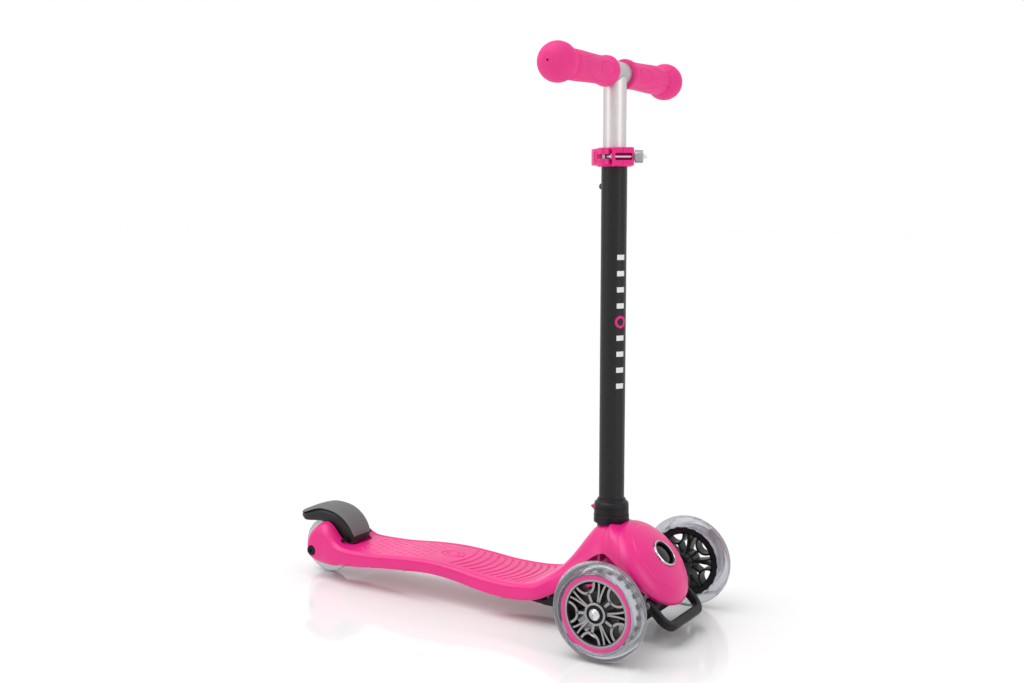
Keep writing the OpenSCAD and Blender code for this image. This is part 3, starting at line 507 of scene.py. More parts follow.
fork_sections = [
    board(rear_x - 11.5, rear_r + 8, rear_r - 9, deck_half - 22, 3, 0),
    board(rear_x - 9, rear_r + 20, rear_r - 14, deck_half - 18.5, 3.5, 0),
    board(rear_x - 3, rear_r + 31, rear_r - 18, deck_half - 16.5, 4, 0),
    board(rear_x + 7, rear_r + 39, rear_r - 21, deck_half - 15.5, 4, 0),
    board(rear_x + 17, rear_r + 42, rear_r - 22.5, deck_half - 15, 4, 0),
    board(rear_x + 28, rear_r + 36, rear_r - 21.5, deck_half - 13.5, 4.5, 0),
    board(rear_x + 40, rear_r + 23, rear_r - 19.5, deck_half - 12, 5, 0.4),
    board(rear_x + 52, rear_r + 15.5, rear_r - 16.5, deck_half - 10.5),
]
board_sections = [
    board(along(0), 53.5, 24, deck_half - 9.5),
    board(along(0.08), 53, 26, deck_half - 8.5),
    board(along(0.17), 53.5, 30, deck_half - 8),
    board(along(0.32), 57.5, 33.5, deck_half - 8.5),
    board(along(0.46), 59, 36, deck_half - 9),
    board(along(0.59), 56.5, 33, deck_half - 8),
    board(along(0.72), 52, 27, deck_half - 5.5),
    board(along(0.84), 50.5, 24, deck_half - 2.5),
    board(along(0.93), 52, 25, deck_half - 0.5),
]
neck_sections = [
    neck(-133, -3.5, -32, deck_half, 4.5, 0),
    neck(-120, 4, -28, deck_half, 4, 0.06),
    neck(-107, 14, -22, deck_half - 1, 3.6, 0.16),
    neck(-95, 27.5, -17, deck_half - 1.5, 3.3, 0.27),
    neck(-84, 43, -14, deck_half - 2, 3, 0.36),
    neck(-74, 58.5, -12, deck_half - 2.5, 2.7, 0.42),
    neck(-65, 69.5, -11, deck_half - 2.5, 2.5, 0.44),
    neck(-56, 75.5, -10, deck_half - 2.5, 2.4, 0.42),
]
throat_sections = [
    [front_x - 37, axle_z + 27, 51, deck_half - 2, 2.3, 0.3, math.radians(10), 0],
    [front_x - 21, axle_z + 27, 57, deck_half - 1.5, 2.15, 0.16, math.radians(22), 0],
    [front_x - 6, axle_z + 28, 60, deck_half - 0.5, 2.05, 0.06, math.radians(33), 0],
]


def pin_point(depth, side=0.0, down=0.0):
    """A point by the nose's own axis: its depth behind the button, and its way left and down."""
    c, s = math.cos(nose_lean), math.sin(nose_lean)
    return Vector((button_x - depth * c + down * s, side, button_z - depth * s - down * c))


def dome_depth(r):
    return nose_dome * (1 - math.sqrt(max(0.0, 1 - (r / nose_r) ** 2)))


def nose_section(r, step=0.0):
    middle = pin_point(dome_depth(r) + step)
    return [middle.x, middle.z, r, r, 2, 0, nose_lean, 0]


print("sections:", len(fork_sections + board_sections + neck_sections + throat_sections))


# %% [markdown]
# ### From a few sections to a smooth skin
#
# A few sections are easy to read and to change, but a skin made straight between them has kinks. A curve
# through all of them (a Catmull-Rom curve) fills in the rest without any loss of the given ones. Each
# section then becomes a ring of points, with a low rim along the board, and the rings become one mesh.

# %% A smooth curve through the sections
def smooth_sections(sections, gap):
    """Adds sections between the given ones, on a Catmull-Rom curve, about a gap apart."""
    s = np.array(sections, float)
    out = []
    for i in range(len(s) - 1):
        before, a, b, after = s[max(i - 1, 0)], s[i], s[i + 1], s[min(i + 2, len(s) - 1)]
        steps = max(1, int(np.hypot(*(b[:2] - a[:2])) / gap + 0.5))
        for k in range(steps):
            t = k / steps
            out.append(0.5 * (2 * a + (b - before) * t + (2 * before - 5 * a + 4 * b - after) * t**2
                              + (3 * a - before - 3 * b + after) * t**3))
    out.append(s[-1])
    return out


RIM_HIGH = 1.8
RIM_WIDE = 7.0
LIP = 0.9


def section_ring(s, angles, wall=0.0, open_by=0.0):
    """The points of one section. The angle runs from the left side over the top."""
    ring = []
    for a in angles:
        c, q = math.cos(a), math.sin(a)
        e = 2 / s[4]
        up = math.copysign(abs(q) ** e, q)
        half = max(s[3] - wall, 1.5)
        side = math.copysign(abs(c) ** e, c)
        if open_by and q < 0:
            side = math.copysign(min(1, abs(c) * 4), c)
        inset = LIP * s[7] if up < 0.56 and not wall else 0
        y = (half - inset) * side * (1 - s[5] * (up + 1) / 2)
        dip = s[7] * RIM_HIGH * min(1, max(0, (half - RIM_WIDE - abs(y)) / 3)) if q > 0 else 0
        v = max(s[2] - wall, 1.5) * up - dip - (open_by if q < 0 else 0)
        ring.append((s[0] - math.sin(s[6]) * v, y, s[1] + math.cos(s[6]) * v))
    return ring


around_angles = np.radians(np.arange(0, 360, 3.0))
body_run = smooth_sections(fork_sections + board_sections + neck_sections + throat_sections
                           + [nose_section(nose_r)], 4.5)
dome_radii = [60.2, 59.6, 58.6, 57.2, 55.4, 53, 50.3, 47.6, 46.6]
dome_run = [nose_section(r, 0.9) for r in dome_radii] + [nose_section(45.9, 0.15)]
dome_run += [nose_section(r) for r in (44, 41, 37, 32, 27, 22)]
outer_rows = [section_ring(s, around_angles) for s in body_run + dome_run]
deck_shell = loft("deck_shell", outer_rows)
print("deck rows:", len(outer_rows), "points round:", len(around_angles))

# %% [markdown]
# ### Hollowing and cutting
#
# Plastic is moulded as a thin wall. A second loft, one wall smaller and open underneath, is taken out of
# the first, leaving ribs. Then come the slot for the rear wheel, the wheel arches, the seat of the bar and
# the well of the lock button. Boolean cuts are the right tool because each is a real cut in the mould.

# %% Hollow the moulding
WALL = 3.2
hollow_angles = np.radians(np.arange(0, 360, 6.0))


def hollow_rows():
    rows = [section_ring(s, hollow_angles, WALL, 30) for s in smooth_sections(
        board_sections + neck_sections[:3], 9)]
    rest = smooth_sections(neck_sections[3:] + throat_sections + [nose_section(nose_r)], 9)
    rows += [section_ring(s, hollow_angles, WALL) for s in rest]
    rows += [section_ring(nose_section(r), hollow_angles, WALL) for r in (59, 56, 51, 44, 38)]
    return rows


hollow = loft("hollow", hollow_rows())
kept = []
for f in (0.15, 0.325, 0.5, 0.675, 0.85):
    kept.append(block("rib", (along(f) - 1.25, -deck_half, 0), (along(f) + 1.25, deck_half, 90)))
for y in (-16, 16):
    kept.append(block("rib", (board_back - 5, y - 1.25, 0), (board_front - 11, y + 1.25, 90)))
kept.append(block("web", (front_x - 110, -2, axle_z - 14), (bar_x - 18, 2, axle_z + 76)))
for y in (-1, 1):
    kept.append(block("web", (bar_x - 2, min(y * 18, y * 76), axle_z + 30),
                      (bar_x + 2, max(y * 18, y * 76), axle_z + 90)))
kept.append(rod("socket", (bar_x, 0, axle_z - 4), (bar_x, 0, axle_z + 77), 20, 64))
kept.append(rod("well", pin_point(22), pin_point(-4), 24, 64))
for part in kept:
    cut(hollow, part)
cut(deck_shell, hollow)
print("hollow left", len(deck_shell.data.polygons), "faces")

# %% [markdown]
# ### Slot, arches and seats
#
# The side arches make room for the front wheels, and the belly is cut away for the steering beam. Their
# outlines are drawn from the side, about the front axle, and pushed through the moulding. Round seats are
# rods. Their sizes follow the parts that sit in them.

# %% Cut the slot, the arches and the seats
arch = [(-104, -16), (-88, 4), (-70, 24), (-54, 38), (-42, 44), (-33, 44), (-20, 38), (-6, 29), (8, 20),
        (44, -22), (44, -70), (-104, -70)]
belly = [(-112, -70), (-112, -12), (-20, -6), (35, 2), (41, -20), (41, -70)]


def rounded(points, rounds=2):
    """Rounds a closed outline by corner cutting, so that its corners become short curves."""
    p = np.array(points, float)
    for _ in range(rounds):
        after = np.roll(p, -1, axis=0)
        p = np.stack([p * 0.75 + after * 0.25, p * 0.25 + after * 0.75], 1).reshape(-1, 2)
    return [tuple(q) for q in p]


def side_prism(name, outline, y0, y1):
    """An outline seen from the right side, given about the front axle, with a width in Y."""
    at = Matrix(((1, 0, 0, front_x), (0, 0, -1, y1), (0, 1, 0, axle_z), (0, 0, 0, 1)))
    return plate(name, outline, at, y1 - y0)


for y0, y1 in ((34, 70), (-70, -34)):
    cut(deck_shell, side_prism("arch", rounded(arch), y0, y1))
cut(deck_shell, side_prism("belly", belly, -36, 36))
slot_low = (rear_x - 30, -25, 0)
slot_high = (rear_x + 62, 25, 130)
cut(deck_shell, soften(block("slot", slot_low, slot_high), 9, 6))
cut(deck_shell, rod("seat", (bar_x, 0, axle_z + 74.5), (bar_x, 0, axle_z + 130), 22.6, 96))
cut(deck_shell, rod("bore", (bar_x, 0, axle_z - 1), (bar_x, 0, axle_z + 130), 18.15, 96))
cut(deck_shell, rod("well", pin_point(6.2), pin_point(-14), 18.2, 96))
cut(deck_shell, rod("well", pin_point(18), pin_point(-10), 17, 96))
cut(deck_shell, rod("pin_hole", pin_point(30), pin_point(0), 5.15, 48))
for y in (-1, 1):
    seat_from, seat_to = (rear_x, y * (deck_half - 18), rear_z), (rear_x, y * 70, rear_z)
    cut(deck_shell, rod("axle_seat", seat_from, seat_to, 7.5, 64))
cut(deck_shell, rod("axle_hole", (rear_x, -60, rear_z), (rear_x, 60, rear_z), 4.15, 48))
cut(deck_shell, block("catch_slot", (bar_x - 32, -5, axle_z + 65.5), (bar_x - 16, 5, axle_z + 90)))
print("deck shell faces:", len(deck_shell.data.polygons))

# %% [markdown]
# ### The tread
#
# A child's shoe needs grip, so the top of the board is patterned: staggered short dimples at the back, a
# plain oval in the middle, and curved grooves in front, bowed forward with their ends swept back. A fine
# sheet of points lies in the board's shallow tray, and a few small functions press the pattern into it.
# Real geometry is used, not a bump, so that the pattern is also there in the mesh.

# %% Make the tread
def board_at(x):
    """The section at any place along the board, from the smooth run."""
    run = [s for s in body_run if s[6] == 0]
    xs = [s[0] for s in run]
    return [float(np.interp(x, xs, [s[k] for s in run])) for k in range(8)]


def dent(distance, width):
    """A soft-sided groove: 1 in its middle, 0 past its edge."""
    t = np.clip(1 - distance / width, 0, 1)
    return t * t * (3 - 2 * t)


def tread_depth(x, y, half):
    """How deep the pattern is pressed at a place, in millimetres."""
    depth = 0.0
    u = (x - along(0.02)) / 11.0
    if x < along(0.44):
        row = round(u)
        shift = 0.0 if row % 2 == 0 else 5.5
        dy = (y - shift + 5.5) % 11.0 - 5.5
        dx = (u - row) * 11.0
        inside = abs(y) < half - 16 and row >= 1
        clear = math.hypot((x - along(0.49)) / 24, y / 20) > 1
        if inside and clear:
            depth = min(1.0, 2.2 * dent(math.hypot(dx / 4.0, dy / 2.1), 1.0)) * 1.4
    oval = math.hypot((x - along(0.49)) / 17.0, y / 12.5)
    depth = max(depth, dent(abs(oval - 1) * 14, 1.9) * 1.4, dent(abs(oval - 0.55) * 14, 1.6) * 1.2)
    bowed = x + 15 * (abs(y) / 45) ** 2.4
    g = (bowed - along(0.575)) / 11.3
    line = round(g)
    if 0 <= line <= 12 and abs(y) < half - 14 and oval > 1.25:
        fade = min(1, (half - 14 - abs(y)) / 4)
        depth = max(depth, min(1.0, 2.0 * dent(abs(g - line) * 11.3, 2.2)) * 1.4 * fade)
    return depth


def tread_rows(step_x=0.8, across=112):
    x0, x1 = board_back + 6, front_x - 112
    rows = []
    for x in np.linspace(x0, x1, int((x1 - x0) / step_x)):
        s = board_at(x)
        half = s[3]
        wide = half - RIM_WIDE - 3.2
        row = []
        for y in np.linspace(-wide, wide, across):
            up = (1 - min(1, abs(y) * (1 + s[5]) / half) ** s[4]) ** (1 / s[4])
            z = s[1] + s[2] * up - RIM_HIGH * s[7] - tread_depth(x, y, half) * s[7] + 0.05
            row.append((x, y, z))
        rows.append(row)
    return rows


def tread_piece():
    rows = tread_rows()
    bm = bmesh.new()
    top = [[bm.verts.new(p) for p in row] for row in rows]
    low = [[bm.verts.new((p[0], p[1], p[2] - 1.6)) for p in (row[0], row[-1])] for row in rows]
    for i in range(len(top) - 1):
        for k in range(len(top[i]) - 1):
            bm.faces.new((top[i][k], top[i][k + 1], top[i + 1][k + 1], top[i + 1][k]))
        bm.faces.new((low[i][0], low[i + 1][0], low[i + 1][1], low[i][1]))
        bm.faces.new((top[i][0], top[i + 1][0], low[i + 1][0], low[i][0]))
        bm.faces.new((top[i][-1], low[i][1], low[i + 1][1], top[i + 1][-1]))
    bm.faces.new([*top[0][::-1], low[0][0], low[0][1]])
    bm.faces.new([*top[-1], low[-1][1], low[-1][0]])
    bmesh.ops.recalc_face_normals(bm, faces=bm.faces)
    return to_object("deck_tread", bm, 40)


def tread_pocket():
    """The room that the tread takes up in the shell: the same sheet, plain and a little smaller."""
    rings = []
    for x in np.linspace(board_back + 6.4, front_x - 112.6, 60):
        s = board_at(x)
        wide = s[3] - RIM_WIDE - 3.6
        ys = np.linspace(-wide, wide, 21)
        zs = [s[1] + s[2] * (1 - min(1, abs(y) * (1 + s[5]) / s[3]) ** s[4]) ** (1 / s[4])
              - RIM_HIGH * s[7] for y in ys]
        rings.append([(x, y, z - 1.5) for y, z in zip(ys, zs)]
                     + [(x, y, z + 0.5) for y, z in zip(ys[::-1], zs[::-1])])
    return loft("tread_pocket", rings)


cut(deck_shell, tread_pocket())
finished(deck_shell, "deck", "pink_shell", pink_shell, "deck")
finished(tread_piece(), "deck", "pink_shell", pink_shell)

# %% [markdown]
# ## Copies around an axis, and coils
#
# Spokes and windows repeat around an axle, and springs are a wire along a helix. Geometry Nodes
# do both: one tree turns copies of a seed mesh around an axis, another sweeps a round wire along a spiral.
# Both end in Realize Instances and Set Material, and the result is kept as a plain mesh.

# %% Geometry Nodes: copies around an axis
def node_group(name, inputs):
    group = bpy.data.node_groups.new(name, "GeometryNodeTree")
    group.interface.new_socket("Geometry", in_out="INPUT", socket_type="NodeSocketGeometry")
    for label, kind in inputs:
        group.interface.new_socket(label, in_out="INPUT", socket_type=kind)
    group.interface.new_socket("Geometry", in_out="OUTPUT", socket_type="NodeSocketGeometry")
    return group, group.nodes.new("NodeGroupInput"), group.nodes.new("NodeGroupOutput")


def ring_tree():
    group, start, end = node_group("copies around an axis", [
        ("Count", "NodeSocketInt"), ("Material", "NodeSocketMaterial")])
    link = group.links.new
    points = group.nodes.new("GeometryNodePoints")
    link(start.outputs["Count"], points.inputs["Count"])
    index = group.nodes.new("GeometryNodeInputIndex")
    share = group.nodes.new("ShaderNodeMath")
    share.operation = "DIVIDE"
    link(index.outputs["Index"], share.inputs[0])
    link(start.outputs["Count"], share.inputs[1])
    turn = group.nodes.new("ShaderNodeMath")
    turn.operation = "MULTIPLY"
    turn.inputs[1].default_value = 2 * math.pi
    link(share.outputs[0], turn.inputs[0])
    spin = group.nodes.new("ShaderNodeCombineXYZ")
    link(turn.outputs[0], spin.inputs["Z"])
    copies = group.nodes.new("GeometryNodeInstanceOnPoints")
    link(points.outputs["Points"], copies.inputs["Points"])
    link(start.outputs["Geometry"], copies.inputs["Instance"])
    link(spin.outputs["Vector"], copies.inputs["Rotation"])
    real = group.nodes.new("GeometryNodeRealizeInstances")
    link(copies.outputs["Instances"], real.inputs["Geometry"])
    paint = group.nodes.new("GeometryNodeSetMaterial")
    link(real.outputs["Geometry"], paint.inputs["Geometry"])
    link(start.outputs["Material"], paint.inputs["Material"])
    link(paint.outputs["Geometry"], end.inputs["Geometry"])
    return group


def run_tree(piece, group, values):
    """Runs a node group on a piece, sets its inputs by identifier, and keeps the result."""
    step = piece.modifiers.new(group.name, "NODES")
    step.node_group = group
    for item in group.interface.items_tree:
        if item.in_out == "INPUT" and item.name in values:
            step[item.identifier] = values[item.name]
    return apply_modifiers(piece)


ring_group = ring_tree()


def around(seed, count, material, at):
    """Copies a seed, made about local Z in millimetres, around that axis, then puts it in place."""
    run_tree(seed, ring_group, {"Count": count, "Material": material})
    move = Matrix.Scale(MM, 4) @ at @ Matrix.Scale(1 / MM, 4)
    seed.data.transform(move)
    return seed


# %% [markdown]
# ### A coil of wire
#
# A spring is a round wire along a spiral. The tree draws the spiral, sweeps a circle along it and caps the
# ends. The turns, radius, height and wire are inputs, so that one tree makes every spring here.

# %% Geometry Nodes: a coil of wire
def coil_tree():
    group, start, end = node_group("coil of wire", [
        ("Turns", "NodeSocketFloat"), ("Radius", "NodeSocketFloat"), ("Height", "NodeSocketFloat"),
        ("Wire", "NodeSocketFloat"), ("Material", "NodeSocketMaterial")])
    link = group.links.new
    spiral = group.nodes.new("GeometryNodeCurveSpiral")
    spiral.inputs["Resolution"].default_value = 20
    link(start.outputs["Turns"], spiral.inputs["Rotations"])
    link(start.outputs["Radius"], spiral.inputs["Start Radius"])
    link(start.outputs["Radius"], spiral.inputs["End Radius"])
    link(start.outputs["Height"], spiral.inputs["Height"])
    wire = group.nodes.new("GeometryNodeCurvePrimitiveCircle")
    wire.inputs["Resolution"].default_value = 10
    link(start.outputs["Wire"], wire.inputs["Radius"])
    sweep = group.nodes.new("GeometryNodeCurveToMesh")
    sweep.inputs["Fill Caps"].default_value = True
    link(spiral.outputs["Curve"], sweep.inputs["Curve"])
    link(wire.outputs["Curve"], sweep.inputs["Profile Curve"])
    real = group.nodes.new("GeometryNodeRealizeInstances")
    link(sweep.outputs["Mesh"], real.inputs["Geometry"])
    paint = group.nodes.new("GeometryNodeSetMaterial")
    link(real.outputs["Geometry"], paint.inputs["Geometry"])
    link(start.outputs["Material"], paint.inputs["Material"])
    link(paint.outputs["Geometry"], end.inputs["Geometry"])
    return group


coil_group = coil_tree()


def coil(name, at, turns, radius, height, wire):
    """A coil spring about a matrix's local Z, with its ends inside its height."""
    bm = bmesh.new()
    bmesh.ops.create_cube(bm, size=1)
    piece = to_object(name, bm)
    run_tree(piece, coil_group, {"Turns": turns, "Radius": radius * MM, "Height": (height - 2 * wire) * MM,
                                 "Wire": wire * MM, "Material": zinc_steel})
    raised = at @ Matrix.Translation((0, 0, wire))
    piece.data.transform(Matrix.Scale(MM, 4) @ raised @ Matrix.Scale(1 / MM, 4))
    outward(piece)
    smooth_by_angle(piece)
    return piece


def springs():
    low, high = span("centring_springs")
    middle = centre("centring_springs")
    pair = [coil("spring", place((middle[0], y, low[2]), (0, 0, 1)), 5, 4.7, high[2] - low[2], 0.8)
            for y in (low[1] + 5.5, high[1] - 5.5)]
    finished(join("centring_spring_pair", pair), "deck", "steel", zinc_steel, "centring_springs")
    lock = coil("lock_coil", place(pin_point(17.9), pin_point(0) - pin_point(17.9)), 5, 9.8, 9.8, 0.8)
    finished(lock, "deck", "steel", zinc_steel, "lock_spring")
    low, high = span("brake_spring")
    middle = centre("brake_spring")
    brake_at = place((middle[0], low[1], middle[2]), (0, 1, 0))
    brake = coil("brake_coil", brake_at, 7, 4.4, high[1] - low[1], 0.8)
    finished(brake, "deck", "steel", zinc_steel, "brake_spring")
    low, high = span("catch_spring")
    middle = centre("catch_spring")
    small = coil("catch_coil", place((low[0], 0, middle[2]), (1, 0, 0)), 3, 1.45, high[0] - low[0], 0.3)
    finished(small, "deck", "steel", zinc_steel, "catch_spring")


springs()
print("springs done")

# %% [markdown]
# ## Front wheels
#
# Each wheel is a spoked plastic core with clear polyurethane cast around it. The mould leaves thin walls
# for spokes: five straight ones that branch in two before they reach the rim, and between them five pairs
# that flare outwards. Their edges are painted silver and their walls stay black, so each spoke is a ribbon
# with two finishes.

# %% Ribbons for spokes
CORE_R = 46.0
RIM_IN = 38.4
TRIM_IN = 41.3
HALF = 12.0
FACE = 9.0
HUB_FACE = 11.5
HUB_R = 14.0
BEARING_R = 11
BEARING_BORE = 4.06
BEARING_WIDE = 7


def ribbon(bm, path, width, low, high):
    """A wall along a path in local XY, with a thickness and a depth along local Z."""
    p = np.array(path, float)
    way = np.gradient(p, axis=0)
    way /= np.linalg.norm(way, axis=1)[:, None]
    side = np.stack([-way[:, 1], way[:, 0]], 1)
    wide = (np.array(width, float) * np.ones(len(p)))[:, None] / 2
    loop = np.concatenate([p + side * wide, (p - side * wide)[::-1]])
    floor = [bm.verts.new((x, y, low)) for x, y in loop]
    roof = [bm.verts.new((x, y, high)) for x, y in loop]
    n = len(p)
    for k in range(2 * n):
        m = (k + 1) % (2 * n)
        bm.faces.new((floor[k], floor[m], roof[m], roof[k]))
    for k in range(n - 1):
        a, b, c, d = k, k + 1, 2 * n - 2 - k, 2 * n - 1 - k
        bm.faces.new((roof[a], roof[b], roof[c], roof[d]))
        bm.faces.new((floor[d], floor[c], floor[b], floor[a]))


def polar(r, degrees):
    return r * math.cos(math.radians(degrees)), r * math.sin(math.radians(degrees))


def curve_through(a, b, c, steps=12):
    """A quadratic curve from a to c that leans towards b."""
    a, b, c = (np.array(v, float) for v in (a, b, c))
    return [tuple((1 - t) ** 2 * a + 2 * t * (1 - t) * b + t * t * c) for t in np.linspace(0, 1, steps)]


def spoke_seed():
    """One fifth of the wheel's spokes: a branching one and a pair that flares, at angles in degrees."""
    branch_at, pair_at = 114, 78
    back, front = 1 - FACE, FACE - 0.8
    bm = bmesh.new()
    ribbon(bm, [polar(r, branch_at) for r in np.linspace(HUB_R - 1.5, 25.5, 5)], 3.4, back, front)
    for side in (-1, 1):
        branch = curve_through(polar(25, branch_at), polar(27.5, branch_at + side * 21),
                               polar(RIM_IN + 1, branch_at + side * 19))
        ribbon(bm, branch, 2.9, back, front)
        flare = curve_through(polar(HUB_R - 1, pair_at + side * 4.5), polar(27, pair_at + side * 2.6),
                              polar(RIM_IN + 1, pair_at + side * 7), 10)
        ribbon(bm, flare, 2.3, back, front)
    bmesh.ops.recalc_face_normals(bm, faces=bm.faces)
    return to_object("spokes", bm)


def paint_by_facing(piece, axis, edge_material, wall_material):
    """Silver on the faces that look outward along the axle, black on everything else."""
    piece.data.materials.clear()
    piece.data.materials.append(wall_material)
    piece.data.materials.append(edge_material)
    for polygon in piece.data.polygons:
        polygon.material_index = 1 if polygon.normal.dot(axis) > 0.8 else 0


def front_wheel(word, side):
    body = word + "_wheel"
    at = Matrix.Translation((front_x, side * half_track, axle_z)) @ Matrix(
        ((1, 0, 0, 0), (0, 0, side, 0), (0, 1, 0, 0), (0, 0, 0, 1)))
    rings = [
        turned("rim", [(RIM_IN - 1.4, 1 - FACE), (CORE_R - 0.15, 1 - FACE), (CORE_R - 0.15, FACE - 0.2),
                       (CORE_R - 0.5, FACE - 0.05), (TRIM_IN + 0.2, FACE - 0.05),
                       (TRIM_IN - 0.2, FACE + 0.5), (RIM_IN, FACE + 0.5), (RIM_IN - 1.0, FACE - 0.6),
                       (RIM_IN - 1.4, FACE - 2.0)], at, 128),
        turned("hub", [(11.05, -HUB_FACE), (HUB_R, -HUB_FACE), (HUB_R, FACE), (HUB_R - 0.4, HUB_FACE - 0.3),
                       (HUB_R - 0.9, HUB_FACE), (11.05, HUB_FACE)], at, 64),
    ]
    spokes = around(spoke_seed(), 5, core_dark, at)
    core = join(word + "_spoked_core", rings + [spokes])
    outward(core)
    paint_by_facing(core, Vector((0, side, 0)), silver_paint, core_dark)
    smooth_by_angle(core, 30)
    finished(core, body, "core_grey", None, word + "_core")
    return at


wheel_frames = {word: front_wheel(word, side) for word, side in (("left", 1), ("right", -1))}
print("wheel cores done")

# %% [markdown]
# ### Tyres, trim, windows and bearings
#
# The tyre is turned in one piece with a round crown. A pink ring with two small tabs trims its edge. The
# drum under the tyre has windows that lock the polyurethane in place, and they show through it. Bearings
# and bolts are turned too, and the hexagon is a cut.

# %% Tyres, trim rings, windows and bearings
def arc(cx, cy, r, a0, a1, steps):
    """Points along an arc, from one angle to another in degrees."""
    return [(cx + r * math.cos(math.radians(a)), cy + r * math.sin(math.radians(a)))
            for a in np.linspace(a0, a1, steps)]


def tyre_profile():
    crown = arc(front_r - HALF, 0, HALF, -90, 90, 33)
    return [(CORE_R, -FACE), (CORE_R + 1.5, -FACE), (CORE_R + 1.8, -HALF + 0.1), *crown,
            (CORE_R + 3.9, HALF - 0.1), (CORE_R + 3.7, FACE), (CORE_R, FACE)]


def trim_outline(radius, tab, steps=200):
    """A ring's outer edge with two tabs, at 47 degrees and opposite."""
    points = []
    for k in range(steps):
        a = 360 * k / steps
        near = min(abs((a - t + 180) % 360 - 180) for t in (47, 227))
        lift = min(1, max(0, (10.2 - near) / 1.6))
        points.append(polar(radius + tab * lift, a))
    return points


def trim_ring(word, at):
    outer = trim_outline(CORE_R - 0.1, 3.1)
    levels = [(FACE + 0.02, 0.0, 0.0), (FACE + 0.85, 0.0, 0.0), (FACE + 1.18, -0.45, 0.45)]
    bm = bmesh.new()
    rows = []
    for height, out_by, in_by in levels:
        rows.append([at @ Vector((x * (1 + out_by / 46), y * (1 + out_by / 46), height)) for x, y in outer])
    n = len(outer)
    for height, out_by, in_by in levels[::-1]:
        rows.append([at @ Vector((*polar(TRIM_IN + in_by, 360 * k / n), height)) for k in range(n)])
    grid_mesh(bm, rows, close_rows=True)
    bmesh.ops.recalc_face_normals(bm, faces=bm.faces)
    return finished(to_object(word + "_trim", bm, 25), word + "_wheel", "pink_shell", pink_trim,
                    word + "_trim_ring")


def window_ring(word, at):
    """Dark pockets round the drum, near the inner side, that the tyre's rubber fills."""
    bm = bmesh.new()
    bmesh.ops.create_cube(bm, size=1)
    bmesh.ops.scale(bm, vec=(1.0, 5.4, 2.4), verts=bm.verts)
    bmesh.ops.translate(bm, vec=(CORE_R + 0.45, 0, -7.3), verts=bm.verts)
    seed = soften(to_object(word + "_windows", bm), 0.35, 2)
    return finished(around(seed, 24, core_dark, at), word + "_wheel", "core_grey", core_dark)


def bearing(name, at, face, radius, bore, width):
    """The visible side of a shielded ball bearing: outer ring, pressed shield and inner ring."""
    s = 1 if face > 0 else -1
    profile = [(bore, face - s * width), (radius, face - s * width), (radius, face - s * 0.3),
               (radius - 0.3, face), (radius - 1.7, face), (radius - 2.0, face - s * 0.5),
               (radius - 2.6, face - s * 0.35), (bore + 2.2, face - s * 0.25), (bore + 1.8, face - s * 0.6),
               (bore + 1.5, face), (bore + 0.3, face), (bore, face - s * 0.3)]
    return turned(name, profile, at, 72)


def bolt_head(name, at, base):
    """A low domed head with a hexagon socket."""
    dome = [(0, base), (6.9, base), (6.95, base + 0.7), *arc(0, base - 5.4, 8.4, 38, 84, 9),
            (0.4, base + 2.98)]
    head = turned(name, [(max(r, 0), h) for r, h in dome], at, 72)
    socket = plate("hex", [polar(2.6, 60 * k) for k in range(6)],
                   at @ Matrix.Translation((0, 0, base + 1.1)), 4)
    return soften(cut(head, socket), 0.15, 2)


for word, side in (("left", 1), ("right", -1)):
    at = wheel_frames[word]
    tyre = turned(word + "_clear_tyre", tyre_profile(), at, 160)
    finished(tyre, word + "_wheel", "clear_tyre", clear_tyre, word + "_tyre")
    trim_ring(word, at)
    window_ring(word, at)
    races = [bearing("race", at, s * HUB_FACE, BEARING_R, BEARING_BORE, BEARING_WIDE) for s in (-1, 1)]
    bearings = join(word + "_ball_bearings", races)
    finished(bearings, word + "_wheel", "steel", black_steel, word + "_bearings")
    shank = turned("shank", [(0, -40), (4, -40), (4, -16.4), (6.2, -16.4), (6.2, -12), (4, -12), (4, 11.9),
                             (0, 11.9)], at, 48)
    bolt = join(word + "_axle_bolt", [shank, bolt_head("head", at, 11.9)])
    finished(bolt, "steering_beam", "chrome", chrome, word + "_wheel_bolt")
print("front wheels done")

# %% [markdown]
# ## Rear wheel
#
# The rear wheel is small and mostly hidden. It is made as the front ones are, with six plain spokes.

# %% Rear wheel
rear_at = Matrix.Translation((rear_x, 0, rear_z)) @ Matrix(
    ((1, 0, 0, 0), (0, 0, -1, 0), (0, 1, 0, 0), (0, 0, 0, 1)))
REAR_CORE = 26.0
REAR_HUB = 12
rear_half = 11.0
rear_crown = arc(rear_r - rear_half, 0, rear_half, -90, 90, 29)
rear_tyre = turned("rear_clear_tyre", [(REAR_CORE, -rear_half + 0.2), (28, -rear_half), *rear_crown,
                                       (28, rear_half), (REAR_CORE, rear_half - 0.2)], rear_at, 128)
finished(rear_tyre, "rear_wheel", "clear_tyre", clear_tyre, "rear_tyre")
rear_rings = [
    turned("rim", [(21, -10), (REAR_CORE - 0.1, -10), (REAR_CORE - 0.1, 10), (21, 10)], rear_at, 96),
    turned("hub", [(11.05, -REAR_HUB), (HUB_R, -REAR_HUB), (HUB_R, REAR_HUB), (11.05, REAR_HUB)],
           rear_at, 64),
]
bm = bmesh.new()
ribbon(bm, [polar(r, 0) for r in np.linspace(HUB_R - 1, 22, 4)], 3, -8, 8)
rear_spokes = around(to_object("spokes", bm), 6, core_dark, rear_at)
rear_core = join("rear_spoked_core", rear_rings + [rear_spokes])
paint_by_facing(rear_core, Vector((0, 1, 0)), core_dark, core_dark)
finished(soften(rear_core, 0.4, 2), "rear_wheel", "core_grey", core_dark, "rear_core")
races = [bearing("race", rear_at, s * REAR_HUB, BEARING_R, BEARING_BORE, BEARING_WIDE) for s in (-1, 1)]
finished(join("rear_ball_bearings", races), "rear_wheel", "steel", zinc_steel, "rear_bearings")
print("rear wheel done")

